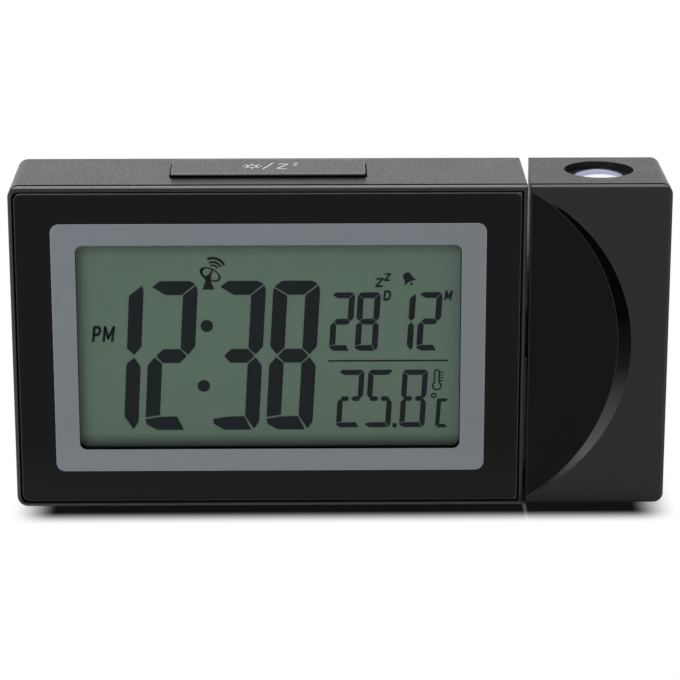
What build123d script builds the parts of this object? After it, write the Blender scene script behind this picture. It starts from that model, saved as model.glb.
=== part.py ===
from build123d import *
import math
import os

# Projection alarm clock: a display case with a swivelling projector on its right side.
# X runs to the right, Y to the back and Z up. The origin lies under the middle of the clock.
# "Depth" means a distance behind the front face, all sizes are millimetres.

# ---------------------------------------------------------------- outer form
main_width = 115.7           # display case
arm_width = 31.7             # projector
arm_gap = 0.6                # running gap between the two, at the front
case_height = 75.4
foot_height = 0.8
arm_lift = 0.4               # projector's underside above the case's underside
arm_draft = 1.4              # projector's inner side leans away towards the back
corner_radius = 2.5          # outer corners of the display case, front view
arm_corner_radius = 2.2      # outer corners of the projector, front view
square_corner_radius = 0.4   # corners next to the gap
front_edge_radius = 0.5
back_edge_radius = 0.7
arm_heel_radius = 8.0        # lower back edge, rounded so that it swings clear of the table
wall = 1.8

# ---------------------------------------------------------------- joints between shells
lip_depth = 1.0              # side of the front cover that shows
groove_width = 0.7           # shadow line between the front cover and the case
groove_depth = 0.5
seat_gap = 0.1               # between pieces that sit in each other
running_gap = 0.05           # round a turning or sliding shaft
spigot_length = 2.5
spigot_wall = 1.4
cover_floor = 1.6            # projector's front cover behind its spigot plane

# ---------------------------------------------------------------- display stack, front to back
rim_side = 0.85
rim_top = 1.2
panel_groove = 0.4
panel_recess = 0.2
panel_thickness = 1.2
panel_edge_radius = 0.2
bezel_floor = 1.2
opening_margin_side = 14.65  # from the outside of the case to the visible display
opening_margin_bottom = 13.75
opening_margin_top = 13.6
opening_radius = 1.6
lcd_gap = 0.2
lcd_thickness = 2.2
lcd_border_side = 1.8
lcd_border_end = 3.0
holder_wall = 1.1
guide_gap = 0.1
guide_thickness = 2.2
backlight_led_thickness = 1.2
backlight_led_width = 3.0
backlight_led_gap = 0.2      # on either side of the lamps
zebra_width = 2.0
zebra_side_margin = 6.0
guide_board_gap = 0.6
board_thickness = 1.2
main_board_margin_side = 10.85
main_board_margin_bottom = 3.6
main_board_margin_top = 5.2
chip_size = 12.0
chip_thickness = 1.4
chip_offset_x = 4.0
chip_below_top = 26.2
ribbon_width = 10.0
ribbon_thickness = 0.6
ribbon_sag = 3.0
ribbon_from_middle = 20.0    # its left edge, to the left of the display's middle

# ---------------------------------------------------------------- battery bay
cell_diameter = 14.2
cell_length = 49.0
cell_nub_length = 1.2
cell_nub_radius = 2.7
cell_space = 0.3
cell_end_radius = 0.6
spring_length = 3.6
spring_radius = 2.8
spring_wire_radius = 0.3
spring_turns = 3
contact_thickness = 0.4
contact_width = 9.0
board_bay_gap = 0.6
bay_wall = 1.2
bay_rise = 2.3               # above the inside of the base
cell_front_space = 0.2
cell_back_space = 0.3
bay_rim_width = 3.0
bay_rim_thickness = 1.4
door_thickness = 1.6
door_overlap = 1.0           # onto the bay's walls
door_side_gap = 0.2
tongue_width = 8.0
tongue_thickness = 1.2
tongue_reach = 1.6
tongue_height = 1.2
tongue_spread = 17.0
latch_width = 10.0
latch_thickness = 1.0
latch_length = 3.0
latch_space = 0.6
door_grip_width = 12.0
door_grip_depth = 0.8
door_grip_height = 5.0

# ---------------------------------------------------------------- snooze key and its switch
top_axis_depth = 14.93       # the key and the lens share this line
key_width = 43.8
key_depth = 13.75
key_rise = 1.0
key_gap = 0.25
key_corner_radius = 0.8
key_edge_radius = 0.35
key_travel = 0.9
key_flange = 1.2
key_flange_thickness = 1.0
key_flange_gap = 0.2
key_skin = 1.4
key_nub_radius = 2.0
key_nub_drop = 0.5           # below the key's flange
switch_spare = 0.05          # left between a pressed key and its switch
switch_size = 6.0
switch_body_height = 3.5
switch_plunger_height = 0.9
switch_plunger_radius = 1.7
snooze_board_width = 22.0
snooze_board_behind = 5.3     # from the key's middle line to its back edge
snooze_board_gap = 0.5       # to the main board
shelf_rib_spread = 8.0
shelf_rib_width = 2.0
shelf_rib_height = 3.7
shelf_rib_reach = 3.5        # in front of the key's middle line
shelf_boss_radius = 2.2

# ---------------------------------------------------------------- rear controls
button_count = 6
button_pitch = 10.0
button_width = 7.5
button_height = 4.6
button_corner_radius = 1.0
button_gap = 0.2
button_recess = 0.8
button_sink = 0.2            # below the back face, so that the clock can lie on its back
button_travel = 0.5
button_flange = 0.9
button_flange_thickness = 0.8
button_flange_gap = 0.2
button_below_top = 22.7
recess_margin = 2.4
slider_offset = 14.0         # from the last button
slider_travel = 4.0
slider_width = 3.6
slider_height = 2.6
slider_flange_height = 5.0
slider_leg = 2.0
slider_leg_gap = 0.15
slide_switch_width = 8.6
slide_switch_height = 4.4
button_board_gap = 3.8       # above the battery bay's rim
button_board_above = 8.0
button_board_left = 8.5
button_board_right = 11.0
sensor_radius = 1.4
sensor_lead_radius = 0.28
sensor_stand_off = 2.4
sensor_inset = 3.4

# ---------------------------------------------------------------- power inlet, sounder, aerial
jack_from_bay = 6.1          # battery bay's rim to the inlet's middle
jack_above_base = 30.2
jack_size = 9.0
jack_length = 11.2
jack_nose_radius = 4.0
jack_bore_radius = 2.8
jack_bore_depth = 10.0
jack_pin_radius = 0.85
jack_pin_length = 8.5
jack_rib_thickness = 1.2
jack_rib_depth = 6.2
sounder_from_bay = 8.4       # battery bay's rim to the sounder's middle
sounder_above_base = 16.2
sounder_radius = 7.0
sounder_thickness = 4.0
sounder_ring_wall = 1.0
sounder_face_gap = 0.2
slot_count = 5
slot_length = 9.0
slot_width = 1.2
slot_pitch = 2.2
aerial_from_left = 7.4
aerial_depth = 16.0
aerial_radius = 4.0
aerial_end_gap = 3.0         # to the screw bosses below and above it
coil_radius = 5.2
coil_length = 14.0
saddle_width = 10.0
saddle_thickness = 2.0
saddle_inset = 4.0

# ---------------------------------------------------------------- screws, bosses, feet
case_screw_radius = 1.0
case_screw_head_radius = 1.9
case_screw_head_height = 1.4
case_screw_length = 8.0
case_boss_radius = 3.0
case_boss_meet = 12.0        # depth at which the front and rear bosses meet
case_boss_seat = 2.0
case_boss_from_side = 7.0
case_boss_from_end = 7.7
board_screw_radius = 0.8
board_screw_head_radius = 1.6
board_screw_head_height = 1.0
board_screw_length = 5.0
board_boss_radius = 2.0
board_boss_spread = 34.0
board_boss_inset = 2.1
foot_radius = 4.0
foot_sink = 0.6
foot_depth = 6.0             # centre of a foot from the front or back face
foot_spread = 40.4

# ---------------------------------------------------------------- projector's recessed front
crescent_radius = 39.5       # outer rim of the scooped recess
crescent_reach = 23.4        # from the projector's inner side to the rim's far point
crescent_depth = 1.5         # at the far point of the recess floor
crescent_bank_width = 3.0    # slanted bank between the rim and the floor

# ---------------------------------------------------------------- swivel
hub_radius = 6.0
hub_bore_radius = 4.0
hub_shoulder_radius = 7.0
hub_flange_radius = 9.2
hub_flange_thickness = 1.6
hub_play = 0.1               # between the hub's shoulder and the display case
hub_screw_circle = 8.1
hub_screw_count = 3
hub_screw_radius = 0.6
hub_screw_head_radius = 1.1
hub_screw_head_height = 1.0
hub_screw_length = 1.5
arm_cavity_inset = 2.4       # inner side to the cavity
bearing_radius = 8.5
bearing_length = 3.5
washer_thickness = 0.4
washer_rise = 0.3
washer_radius = 8.2
clip_thickness = 0.7
clip_groove_radius = 5.2
clip_radius = 7.6
clip_opening = 6.0
hub_tail = 1.0
cable_radius = 0.9
cable_bend_radius = 2.2
cable_end_gap = 0.3
socket_size = 5.0
socket_length = 5.0
cable_past_flange = 2.3

# ---------------------------------------------------------------- optics
lens_from_outside = 15.2     # lens axis to the projector's outer side
lens_hole_radius = 7.85
focus_travel = 1.2
barrel_top_margin = 0.4      # left above the barrel at the end of its travel
barrel_radius = 7.5
barrel_length = 20.6
barrel_bore_radius = 5.6
barrel_spring_radius = 6.75
barrel_spring_wire_radius = 0.35
barrel_spring_turns = 3
barrel_spring_gap = 0.3      # below the barrel
lens_seat_radius = 6.6
lens_seat_depth = 1.6
lens_thickness = 1.4
lens_rise = 1.5
wheel_radius = 11.4
wheel_relief = 0.4           # between the wheel and the front cover
wheel_height = 5.0
wheel_below_top = 11.2
wheel_grooves = 36
wheel_groove_radius = 0.5
shelf_thickness = 1.6
shelf_gap = 0.2
shelf_front_depth = 5.0
scoop_radius = 12.0
scoop_depth = 1.2
scoop_width = 16.0
wheel_slot_width = 13.0
tube_radius = 9.3
tube_bottom_above_base = 23.2
tube_upper_bore_radius = 7.65
tube_upper_bore_length = 8.5
tube_bore_radius = 6.0
tube_ledge_radius = 5.2
tube_foot_width = 18.6
tube_foot_depth = 16.0
tube_foot_thickness = 2.0
tube_foot_screw_spread = 7.9
ear_spread = 11.2
ear_size = 4.4
ear_thickness = 2.0
ear_depth = 18.0
left_ear_below_top = 22.2
right_ear_above_base = 33.2
condenser_below_slide = 7.5
condenser_radius = 5.9
condenser_edge = 2.0
condenser_rise = 1.5
slide_below_barrel = 7.0     # projected display
slide_width = 10.0
slide_depth = 14.0
slide_thickness = 1.4
led_radius = 2.5
led_body_height = 4.0
led_board_left = 11.9
led_board_right = 10.0
arm_boss_from_side = 4.8
arm_boss_from_cavity = 2.9
arm_boss_from_top = 5.6
arm_boss_from_bottom = 11.4
arm_boss_radius = 2.4

# ---------------------------------------------------------------- places worked out from the sizes
overall_width = main_width + arm_gap + arm_width
left_x = -overall_width / 2
main_right = left_x + main_width
arm_left = main_right + arm_gap
arm_right = overall_width / 2
cavity_left = arm_left + arm_cavity_inset
display_x = (left_x + main_right) / 2
lens_x = arm_right - lens_from_outside

base_z = foot_height
top_z = base_z + case_height
arm_bottom = base_z + arm_lift
pivot_z = (arm_bottom + top_z) / 2

split_depth = lip_depth + groove_width
spigot_depth = split_depth + spigot_length
panel_back = panel_recess + panel_thickness
bezel_back = panel_back + bezel_floor
lcd_front = bezel_back + lcd_gap
lcd_back = lcd_front + lcd_thickness
guide_front = lcd_back + guide_gap
guide_back = guide_front + guide_thickness
board_front = guide_back + guide_board_gap
board_back = board_front + board_thickness
bay_front = board_back + board_bay_gap + bay_wall
cell_depth = bay_front + cell_front_space + cell_diameter / 2
door_front = cell_depth + cell_diameter / 2 + cell_back_space
case_depth = door_front + door_thickness
back_inner = case_depth - wall
front_y = -case_depth / 2
back_y = case_depth / 2
pivot_depth = case_depth / 2

opening_x0 = left_x + opening_margin_side
opening_x1 = main_right - opening_margin_side
opening_z0 = base_z + opening_margin_bottom
opening_z1 = top_z - opening_margin_top
lcd_x0 = opening_x0 - lcd_border_side
lcd_x1 = opening_x1 + lcd_border_side
lcd_z0 = opening_z0 - lcd_border_end
lcd_z1 = opening_z1 + lcd_border_end
main_board_z0 = base_z + main_board_margin_bottom
main_board_z1 = top_z - main_board_margin_top

bay_length = 2 * contact_thickness + cell_length + cell_nub_length + spring_length
bay_height = 2 * cell_diameter + 3 * cell_space
bay_x0 = display_x - bay_length / 2
bay_x1 = display_x + bay_length / 2
bay_z0 = base_z + wall + bay_rise
bay_z1 = bay_z0 + bay_height
cell_z = [bay_z0 + cell_space + cell_diameter / 2 + i * (cell_diameter + cell_space) for i in range(2)]

key_flange_top = top_z - wall - key_flange_gap
key_flange_bottom = key_flange_top - key_flange_thickness
key_nub_bottom = key_flange_bottom - key_nub_drop
snooze_plunger_top = key_nub_bottom - key_travel - switch_spare
snooze_board_top = snooze_plunger_top - switch_body_height - switch_plunger_height
snooze_shelf_z = snooze_board_top - board_thickness

button_z = top_z - button_below_top
button_x = [display_x + (i - (button_count + 1) / 2 + 0.5) * button_pitch for i in range(button_count)]
slider_x = button_x[-1] + slider_offset
button_flange_back = back_inner - button_flange_gap
button_flange_front = button_flange_back - button_flange_thickness
button_board_back = (button_flange_front - button_travel - switch_spare
                     - switch_body_height - switch_plunger_height)
button_board_front = button_board_back - board_thickness
button_board_x0 = button_x[0] - button_board_left
button_board_x1 = slider_x + button_board_right
button_board_z0 = bay_z1 + bay_rim_width + button_board_gap
button_board_z1 = button_z + button_board_above

jack_x = bay_x1 + bay_rim_width + jack_from_bay
jack_z = base_z + jack_above_base
sounder_x = bay_x1 + bay_rim_width + sounder_from_bay
sounder_z = base_z + sounder_above_base
aerial_x = left_x + aerial_from_left
aerial_z0 = base_z + case_boss_from_end + case_boss_radius + aerial_end_gap
aerial_z1 = top_z - case_boss_from_end - case_boss_radius - aerial_end_gap

case_bosses = [(x, z) for x in (left_x + case_boss_from_side, main_right - case_boss_from_side)
               for z in (base_z + case_boss_from_end, top_z - case_boss_from_end)]
main_board_bosses = [(display_x + side * board_boss_spread, z) for side in (-1, 1)
                     for z in (main_board_z0 + board_boss_inset, main_board_z1 - board_boss_inset)]
button_board_bosses = [(x, z)
                       for x in (button_board_x0 + board_boss_inset, button_board_x1 - board_boss_inset)
                       for z in (button_board_z0 + board_boss_inset, button_board_z1 - board_boss_inset)]
case_screw_tip = case_boss_meet + case_boss_seat - case_screw_length
arm_bosses = [(x, z) for x in (cavity_left + arm_boss_from_cavity, arm_right - arm_boss_from_side)
              for z in (arm_bottom + arm_boss_from_bottom, top_z - arm_boss_from_top)]

bearing_end = main_right - wall - bearing_length
washer_space = washer_thickness + washer_rise + hub_play
clip_x1 = bearing_end - washer_space
clip_x0 = clip_x1 - clip_thickness
hub_end = clip_x0 - hub_tail
flange_end = cavity_left + hub_flange_thickness
cable_x = flange_end + cable_past_flange

wheel_z1 = top_z - wheel_below_top
wheel_z0 = wheel_z1 - wheel_height
upper_shelf_z = wheel_z1 + shelf_gap
lower_shelf_z = wheel_z0 - shelf_gap - shelf_thickness
barrel_z1 = top_z - barrel_top_margin - focus_travel
barrel_z0 = barrel_z1 - barrel_length
tube_z0 = base_z + tube_bottom_above_base
slide_z = barrel_z0 - slide_below_barrel
condenser_z = slide_z - condenser_below_slide
led_board_z0 = tube_z0 - board_thickness
left_ear_z = top_z - left_ear_below_top
right_ear_z = base_z + right_ear_above_base
ears = [(lens_x - ear_spread, left_ear_z), (lens_x + ear_spread, right_ear_z)]
lens_y = front_y + top_axis_depth


# ---------------------------------------------------------------- shared shapes
def outline(x0, x1, z0, z1, left_radius, right_radius):
    """Front-view rectangle with one radius for its left corners and one for its right corners."""
    shape = Pos((x0 + x1) / 2, (z0 + z1) / 2) * Rectangle(x1 - x0, z1 - z0)
    shape = fillet(shape.vertices().group_by(Axis.X)[0], left_radius)
    return fillet(shape.vertices().group_by(Axis.X)[-1], right_radius)


def prism(shape, near, far):
    """Front-view sketch extruded between two depths."""
    plane = Plane(origin=(0, front_y + far, 0), x_dir=(1, 0, 0), z_dir=(0, -1, 0))
    return extrude(plane * shape, amount=far - near)


def block(x0, x1, near, far, z0, z1):
    """Box between two X places, two depths and two heights."""
    centre = ((x0 + x1) / 2, front_y + (near + far) / 2, (z0 + z1) / 2)
    return Pos(*centre) * Box(x1 - x0, far - near, z1 - z0)


def post(x, z, radius, near, far):
    """Round post from front to back."""
    return prism(Pos(x, z) * Circle(radius), near, far)


def column(x, y, radius, z0, z1):
    """Upright cylinder."""
    return Pos(x, y, (z0 + z1) / 2) * Cylinder(radius, z1 - z0)


def axle(radius, x0, x1):
    """Cylinder along the swivel's axis."""
    plane = Plane(origin=(x0, front_y + pivot_depth, pivot_z), x_dir=(0, 1, 0), z_dir=(1, 0, 0))
    return extrude(plane * Circle(radius), amount=x1 - x0)


def side_slab(profile, x0, x1):
    """Side-view sketch (Y, Z) extruded between two X places."""
    plane = Plane(origin=(x0, 0, 0), x_dir=(0, 1, 0), z_dir=(1, 0, 0))
    return extrude(plane * profile, amount=x1 - x0)


def main_outline(inset):
    """Display case in front view, drawn in by a wall or a gap."""
    return outline(left_x + inset, main_right - inset, base_z + inset, top_z - inset,
                   max(corner_radius - inset, square_corner_radius), square_corner_radius)


def arm_outline(inset):
    """Projector in front view, drawn in by a wall or a gap."""
    return outline(arm_left + inset, arm_right - inset, arm_bottom + inset, top_z - inset,
                   square_corner_radius, max(arm_corner_radius - inset, square_corner_radius))


def arm_cavity_outline(inset):
    """Inside of the projector in front view."""
    return outline(cavity_left + inset, arm_right - wall - inset,
                   arm_bottom + wall + inset, top_z - wall - inset,
                   square_corner_radius, square_corner_radius)


def screw_to_back(x, z, seat, radius, head_radius, head_height, length):
    """Screw that is driven from the front: its head lies before the seat, its shank behind it."""
    return post(x, z, head_radius, seat - head_height, seat) + post(x, z, radius, seat, seat + length)


def screw_to_front(x, z, seat, radius, head_radius, head_height, length):
    """Screw that is driven from the back: its head lies behind the seat, its shank before it."""
    return post(x, z, head_radius, seat, seat + head_height) + post(x, z, radius, seat - length, seat)


def board_screw_hole(x, z, near, far):
    """Clearance hole of a board screw."""
    return post(x, z, board_screw_radius + seat_gap, near, far)


def case_screw_hole(x, z, near, far):
    """Clearance hole of a case screw."""
    return post(x, z, case_screw_radius + seat_gap, near, far)


def rear_boss(x, z, radius):
    """Screw boss that stands on the inside of the back wall."""
    return post(x, z, radius, case_boss_meet, back_inner)


def rear_boss_bore(x, z):
    """Way of a case screw through the back wall: head recess, then clearance hole."""
    recess = post(x, z, case_screw_head_radius + seat_gap, case_boss_meet + case_boss_seat, case_depth)
    return recess + case_screw_hole(x, z, case_boss_meet, case_depth)


def front_boss(x, z, radius, root):
    """Screw boss that stands on the inside of a front cover."""
    return post(x, z, radius, root, case_boss_meet)


def case_screw(x, z):
    """Long screw that holds a case to its front cover."""
    return screw_to_front(x, z, case_boss_meet + case_boss_seat, case_screw_radius,
                          case_screw_head_radius, case_screw_head_height, case_screw_length)


# ---------------------------------------------------------------- display case: shells
def front_lip(shape):
    """Outer band of a front cover with its rounded front edge."""
    band = prism(shape, 0, lip_depth)
    return fillet(band.edges().group_by(Axis.Y)[0], front_edge_radius)


def panel_outline(extra):
    """Display panel in front view."""
    side = rim_side + panel_groove - extra
    return outline(left_x + side, main_right - side,
                   base_z + side, top_z - rim_top - panel_groove + extra,
                   corner_radius - rim_side, square_corner_radius)


def opening_outline():
    """Visible part of the display in front view."""
    return outline(opening_x0, opening_x1, opening_z0, opening_z1, opening_radius, opening_radius)


def front_frame():
    frame = front_lip(main_outline(0)) + prism(main_outline(groove_depth), lip_depth, split_depth)
    spigot_inset = wall + seat_gap
    frame += prism(main_outline(spigot_inset), split_depth, spigot_depth)
    frame -= prism(main_outline(spigot_inset + spigot_wall), bezel_back, spigot_depth)
    for x, z in case_bosses:
        frame += front_boss(x, z, case_boss_radius, panel_back)
    for x, z in main_board_bosses:
        frame += post(x, z, board_boss_radius, panel_back, board_front)
    frame -= prism(panel_outline(panel_groove), 0, panel_back)
    frame -= prism(opening_outline(), panel_back, bezel_back)
    for x, z in case_bosses:
        frame -= case_screw_hole(x, z, case_screw_tip, case_boss_meet)
    for x, z in main_board_bosses:
        frame -= board_screw_hole(x, z, board_back - board_screw_length - seat_gap, board_front)
    return frame


def battery_bay():
    """Tub for the cells, with a thicker rim where the door lies."""
    tub = block(bay_x0 - bay_wall, bay_x1 + bay_wall, bay_front - bay_wall, door_front,
                bay_z0 - bay_wall, bay_z1 + bay_wall)
    rim = block(bay_x0 - bay_rim_width, bay_x1 + bay_rim_width, door_front - bay_rim_thickness, door_front,
                bay_z0 - bay_rim_width, bay_z1 + bay_rim_width)
    return tub + rim


def battery_bay_cuts():
    """Room for the cells, the door and the door's tongues."""
    room = block(bay_x0, bay_x1, bay_front, door_front, bay_z0, bay_z1)
    edge = door_overlap + door_side_gap
    room += block(bay_x0 - edge, bay_x1 + edge, door_front, case_depth, bay_z0 - edge, bay_z1 + edge)
    slot_back = door_front - bay_rim_thickness
    for side in (-1, 1):
        centre = display_x + side * tongue_spread
        half = tongue_width / 2 + door_side_gap
        room += block(centre - half, centre + half, slot_back - 2 * tongue_thickness - latch_space, slot_back,
                      bay_z0 - bay_wall, bay_z0)
    return room


def shelf_ribs():
    """Two ribs behind the snooze key that carry its small board."""
    ribs = Part()
    for side in (-1, 1):
        x = display_x + side * shelf_rib_spread
        near = top_axis_depth - shelf_rib_reach
        ribs += block(x - shelf_rib_width / 2, x + shelf_rib_width / 2, near, back_inner,
                      snooze_shelf_z - shelf_rib_height, snooze_shelf_z)
        ribs += column(x, lens_y, shelf_boss_radius, snooze_shelf_z - shelf_rib_height, snooze_shelf_z)
    return ribs


def shelf_screw_holes():
    """Pilot holes in the shelf ribs."""
    holes = Part()
    for side in (-1, 1):
        holes += column(display_x + side * shelf_rib_spread, lens_y, board_screw_radius + seat_gap,
                        snooze_shelf_z - shelf_rib_height, snooze_shelf_z)
    return holes


def aerial_saddles():
    """Two brackets on the back wall that hold the aerial rod, open to the front."""
    saddles = Part()
    seat = aerial_radius + seat_gap
    for z in (aerial_z0 + saddle_inset, aerial_z1 - saddle_inset):
        bracket = block(aerial_x - saddle_width / 2, aerial_x + saddle_width / 2,
                        aerial_depth - seat / 2, back_inner, z - saddle_thickness / 2, z + saddle_thickness / 2)
        bracket -= column(aerial_x, front_y + aerial_depth, seat,
                          z - saddle_thickness / 2, z + saddle_thickness / 2)
        saddles += bracket
    return saddles


def sounder_mount():
    """Ring on the back wall round the sounder."""
    depth = back_inner - sounder_face_gap - sounder_thickness
    ring = post(sounder_x, sounder_z, sounder_radius + seat_gap + sounder_ring_wall, depth, back_inner)
    return ring - post(sounder_x, sounder_z, sounder_radius + seat_gap, depth, back_inner)


def sound_slots():
    """Slots in the back wall behind the sounder."""
    slots = Part()
    for i in range(slot_count):
        z = sounder_z + (i - (slot_count - 1) / 2) * slot_pitch
        slots += prism(Pos(sounder_x, z) * SlotOverall(slot_length, slot_width), back_inner, case_depth)
    return slots


def jack_ribs():
    """Two ribs on the back wall that hold the power inlet."""
    ribs = Part()
    for side in (-1, 1):
        near_face = jack_x + side * (jack_size / 2 + seat_gap)
        far_face = near_face + side * jack_rib_thickness
        ribs += block(min(near_face, far_face), max(near_face, far_face), back_inner - jack_rib_depth,
                      back_inner, jack_z - jack_size / 2, jack_z + jack_size / 2)
    return ribs


def rounded_prism(x, z, width, height, radius, near, far):
    """Rounded rectangle from front to back."""
    return prism(Pos(x, z) * RectangleRounded(width, height, radius), near, far)


def rear_control_cuts():
    """Shallow recess round the rear buttons, their holes and the alarm switch's slot."""
    x0 = button_x[0] - button_width / 2 - recess_margin
    x1 = slider_x + slider_travel + slider_width / 2 + recess_margin
    cuts = rounded_prism((x0 + x1) / 2, button_z, x1 - x0, button_height + 2 * recess_margin,
                         recess_margin / 2, case_depth - button_recess, case_depth)
    for x in button_x:
        cuts += rounded_prism(x, button_z, button_width + 2 * button_gap, button_height + 2 * button_gap,
                              button_corner_radius, back_inner, case_depth)
    slot_width_x = slider_width + slider_travel + 2 * button_gap
    cuts += rounded_prism(slider_x + slider_travel / 2, button_z, slot_width_x,
                          slider_height + 2 * button_gap, button_gap, back_inner, case_depth)
    return cuts


def key_plan(extra, z0, z1, radius):
    """Upright prism with the snooze key's plan."""
    plan = RectangleRounded(key_width + 2 * extra, key_depth + 2 * extra, radius)
    return extrude(Pos(display_x, lens_y, z0) * plan, amount=z1 - z0)


def foot_places():
    """Centres of the four feet."""
    return [(display_x + side * foot_spread, y) for side in (-1, 1)
            for y in (front_y + foot_depth, back_y - foot_depth)]


def main_case():
    case = prism(main_outline(0), split_depth, case_depth)
    case = fillet(case.edges().group_by(Axis.Y)[-1], back_edge_radius)
    case -= prism(main_outline(wall), split_depth, back_inner)
    case += battery_bay()
    case -= battery_bay_cuts()
    for x, z in case_bosses:
        case += rear_boss(x, z, case_boss_radius)
        case -= rear_boss_bore(x, z)
    for x, z in button_board_bosses:
        case += post(x, z, board_boss_radius, button_board_back, back_inner)
        case -= board_screw_hole(x, z, button_board_back, button_board_front + board_screw_length + seat_gap)
    case += shelf_ribs()
    case -= shelf_screw_holes()
    case += aerial_saddles()
    case += sounder_mount()
    case -= sound_slots()
    case += jack_ribs()
    case -= post(jack_x, jack_z, jack_nose_radius + seat_gap, back_inner, case_depth)
    case -= rear_control_cuts()
    case += axle(bearing_radius, bearing_end, main_right - wall)
    case -= axle(hub_radius + running_gap, bearing_end, main_right)
    case -= key_plan(key_gap, top_z - wall, top_z, key_corner_radius)
    for x, y in foot_places():
        case -= column(x, y, foot_radius + seat_gap, base_z, base_z + foot_sink)
    return case


def feet():
    """Four rubber pads, each in its own pocket."""
    return Compound([column(x, y, foot_radius, 0, base_z + foot_sink) for x, y in foot_places()])


# ---------------------------------------------------------------- display case: display
def display_window():
    panel = prism(panel_outline(0), panel_recess, panel_back)
    return fillet(panel.edges().group_by(Axis.Y)[0], panel_edge_radius)


def lcd_panel():
    return block(lcd_x0, lcd_x1, lcd_front, lcd_back, lcd_z0, lcd_z1)


def light_guide():
    return block(lcd_x0 + seat_gap, lcd_x1 - backlight_led_thickness - 2 * backlight_led_gap,
                 guide_front, guide_back, opening_z0, opening_z1)


def backlight_leds():
    """Two side-emitting lamps at the end of the light guide."""
    third = (opening_z1 - opening_z0) / 3
    x0 = lcd_x1 - backlight_led_thickness - backlight_led_gap
    return Compound([block(x0, x0 + backlight_led_thickness, guide_front, board_front,
                           z - backlight_led_width / 2, z + backlight_led_width / 2)
                     for z in (opening_z0 + third, opening_z1 - third)])


def lcd_holder():
    frame = block(lcd_x0 - holder_wall, lcd_x1 + holder_wall, lcd_front, board_front,
                  lcd_z0 - holder_wall, lcd_z1 + holder_wall)
    return frame - block(lcd_x0 - seat_gap, lcd_x1 + seat_gap, lcd_front, board_front,
                         lcd_z0 - seat_gap, lcd_z1 + seat_gap)


def zebra_strips():
    """Rubber contact strips between the display's edges and the board."""
    x0 = lcd_x0 + zebra_side_margin
    x1 = lcd_x1 - zebra_side_margin
    margin = (lcd_border_end - zebra_width) / 2
    return Compound([block(x0, x1, lcd_back, board_front, z, z + zebra_width)
                     for z in (lcd_z0 + margin, lcd_z1 - margin - zebra_width)])


def main_board():
    board = block(left_x + main_board_margin_side, main_right - main_board_margin_side,
                  board_front, board_back, main_board_z0, main_board_z1)
    for x, z in main_board_bosses:
        board -= board_screw_hole(x, z, board_front, board_back)
    return board


def main_chip():
    x = display_x + chip_offset_x
    z = top_z - chip_below_top
    half = chip_size / 2
    return block(x - half, x + half, board_back, board_back + chip_thickness, z - half, z + half)


def board_ribbon():
    """Flat cable that arches from the main board to the rear control board."""
    near = front_y + board_back
    far = front_y + button_board_front
    middle = (near + far) / 2
    z = (button_board_z0 + button_board_z1) / 2
    top = z + ribbon_thickness
    lower = ThreePointArc((near, z), (middle, z - ribbon_sag), (far, z))
    upper = ThreePointArc((far, top), (middle, top - ribbon_sag), (near, top))
    far_end = Line((far, z), (far, top))
    near_end = Line((near, top), (near, z))
    x0 = display_x - ribbon_from_middle
    return side_slab(make_face([lower, far_end, upper, near_end]), x0, x0 + ribbon_width)


# ---------------------------------------------------------------- display case: battery bay
def battery_cell(index):
    """One AA cell: the lower one points left, the upper one right."""
    nub_side = -1 if index == 0 else 1
    contact_x = bay_x0 + contact_thickness if index == 0 else bay_x1 - contact_thickness
    body_start = contact_x - nub_side * cell_nub_length
    body_end = body_start - nub_side * cell_length
    y = front_y + cell_depth
    x0, x1 = sorted((body_start, body_end))
    plane = Plane(origin=(x0, y, cell_z[index]), x_dir=(0, 1, 0), z_dir=(1, 0, 0))
    body = extrude(plane * Circle(cell_diameter / 2), amount=x1 - x0)
    body = fillet(body.edges(), cell_end_radius)
    n0, n1 = sorted((contact_x, body_start))
    nub_plane = Plane(origin=(n0, y, cell_z[index]), x_dir=(0, 1, 0), z_dir=(1, 0, 0))
    return body + extrude(nub_plane * Circle(cell_nub_radius), amount=n1 - n0)


def contact_springs():
    """Coil springs behind the two negative ends."""
    springs = []
    for index, x in ((0, bay_x1 - contact_thickness - spring_length), (1, bay_x0 + contact_thickness)):
        height = spring_length - 2 * spring_wire_radius
        coil = Helix(pitch=height / spring_turns, height=height, radius=spring_radius,
                     center=(x + spring_wire_radius, front_y + cell_depth, cell_z[index]),
                     direction=(1, 0, 0))
        start = Plane(origin=coil @ 0, z_dir=coil % 0)
        springs.append(sweep(start * Circle(spring_wire_radius), path=coil))
    return Compound(springs)


def contact_plates():
    """Bridge plate at the left end, two single plates at the right end."""
    near = cell_depth - contact_width / 2
    far = cell_depth + contact_width / 2
    plates = [block(bay_x0, bay_x0 + contact_thickness, near, far,
                    cell_z[0] - contact_width / 2, cell_z[1] + contact_width / 2)]
    for z in cell_z:
        plates.append(block(bay_x1 - contact_thickness, bay_x1, near, far,
                            z - contact_width / 2, z + contact_width / 2))
    return Compound(plates)


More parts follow.
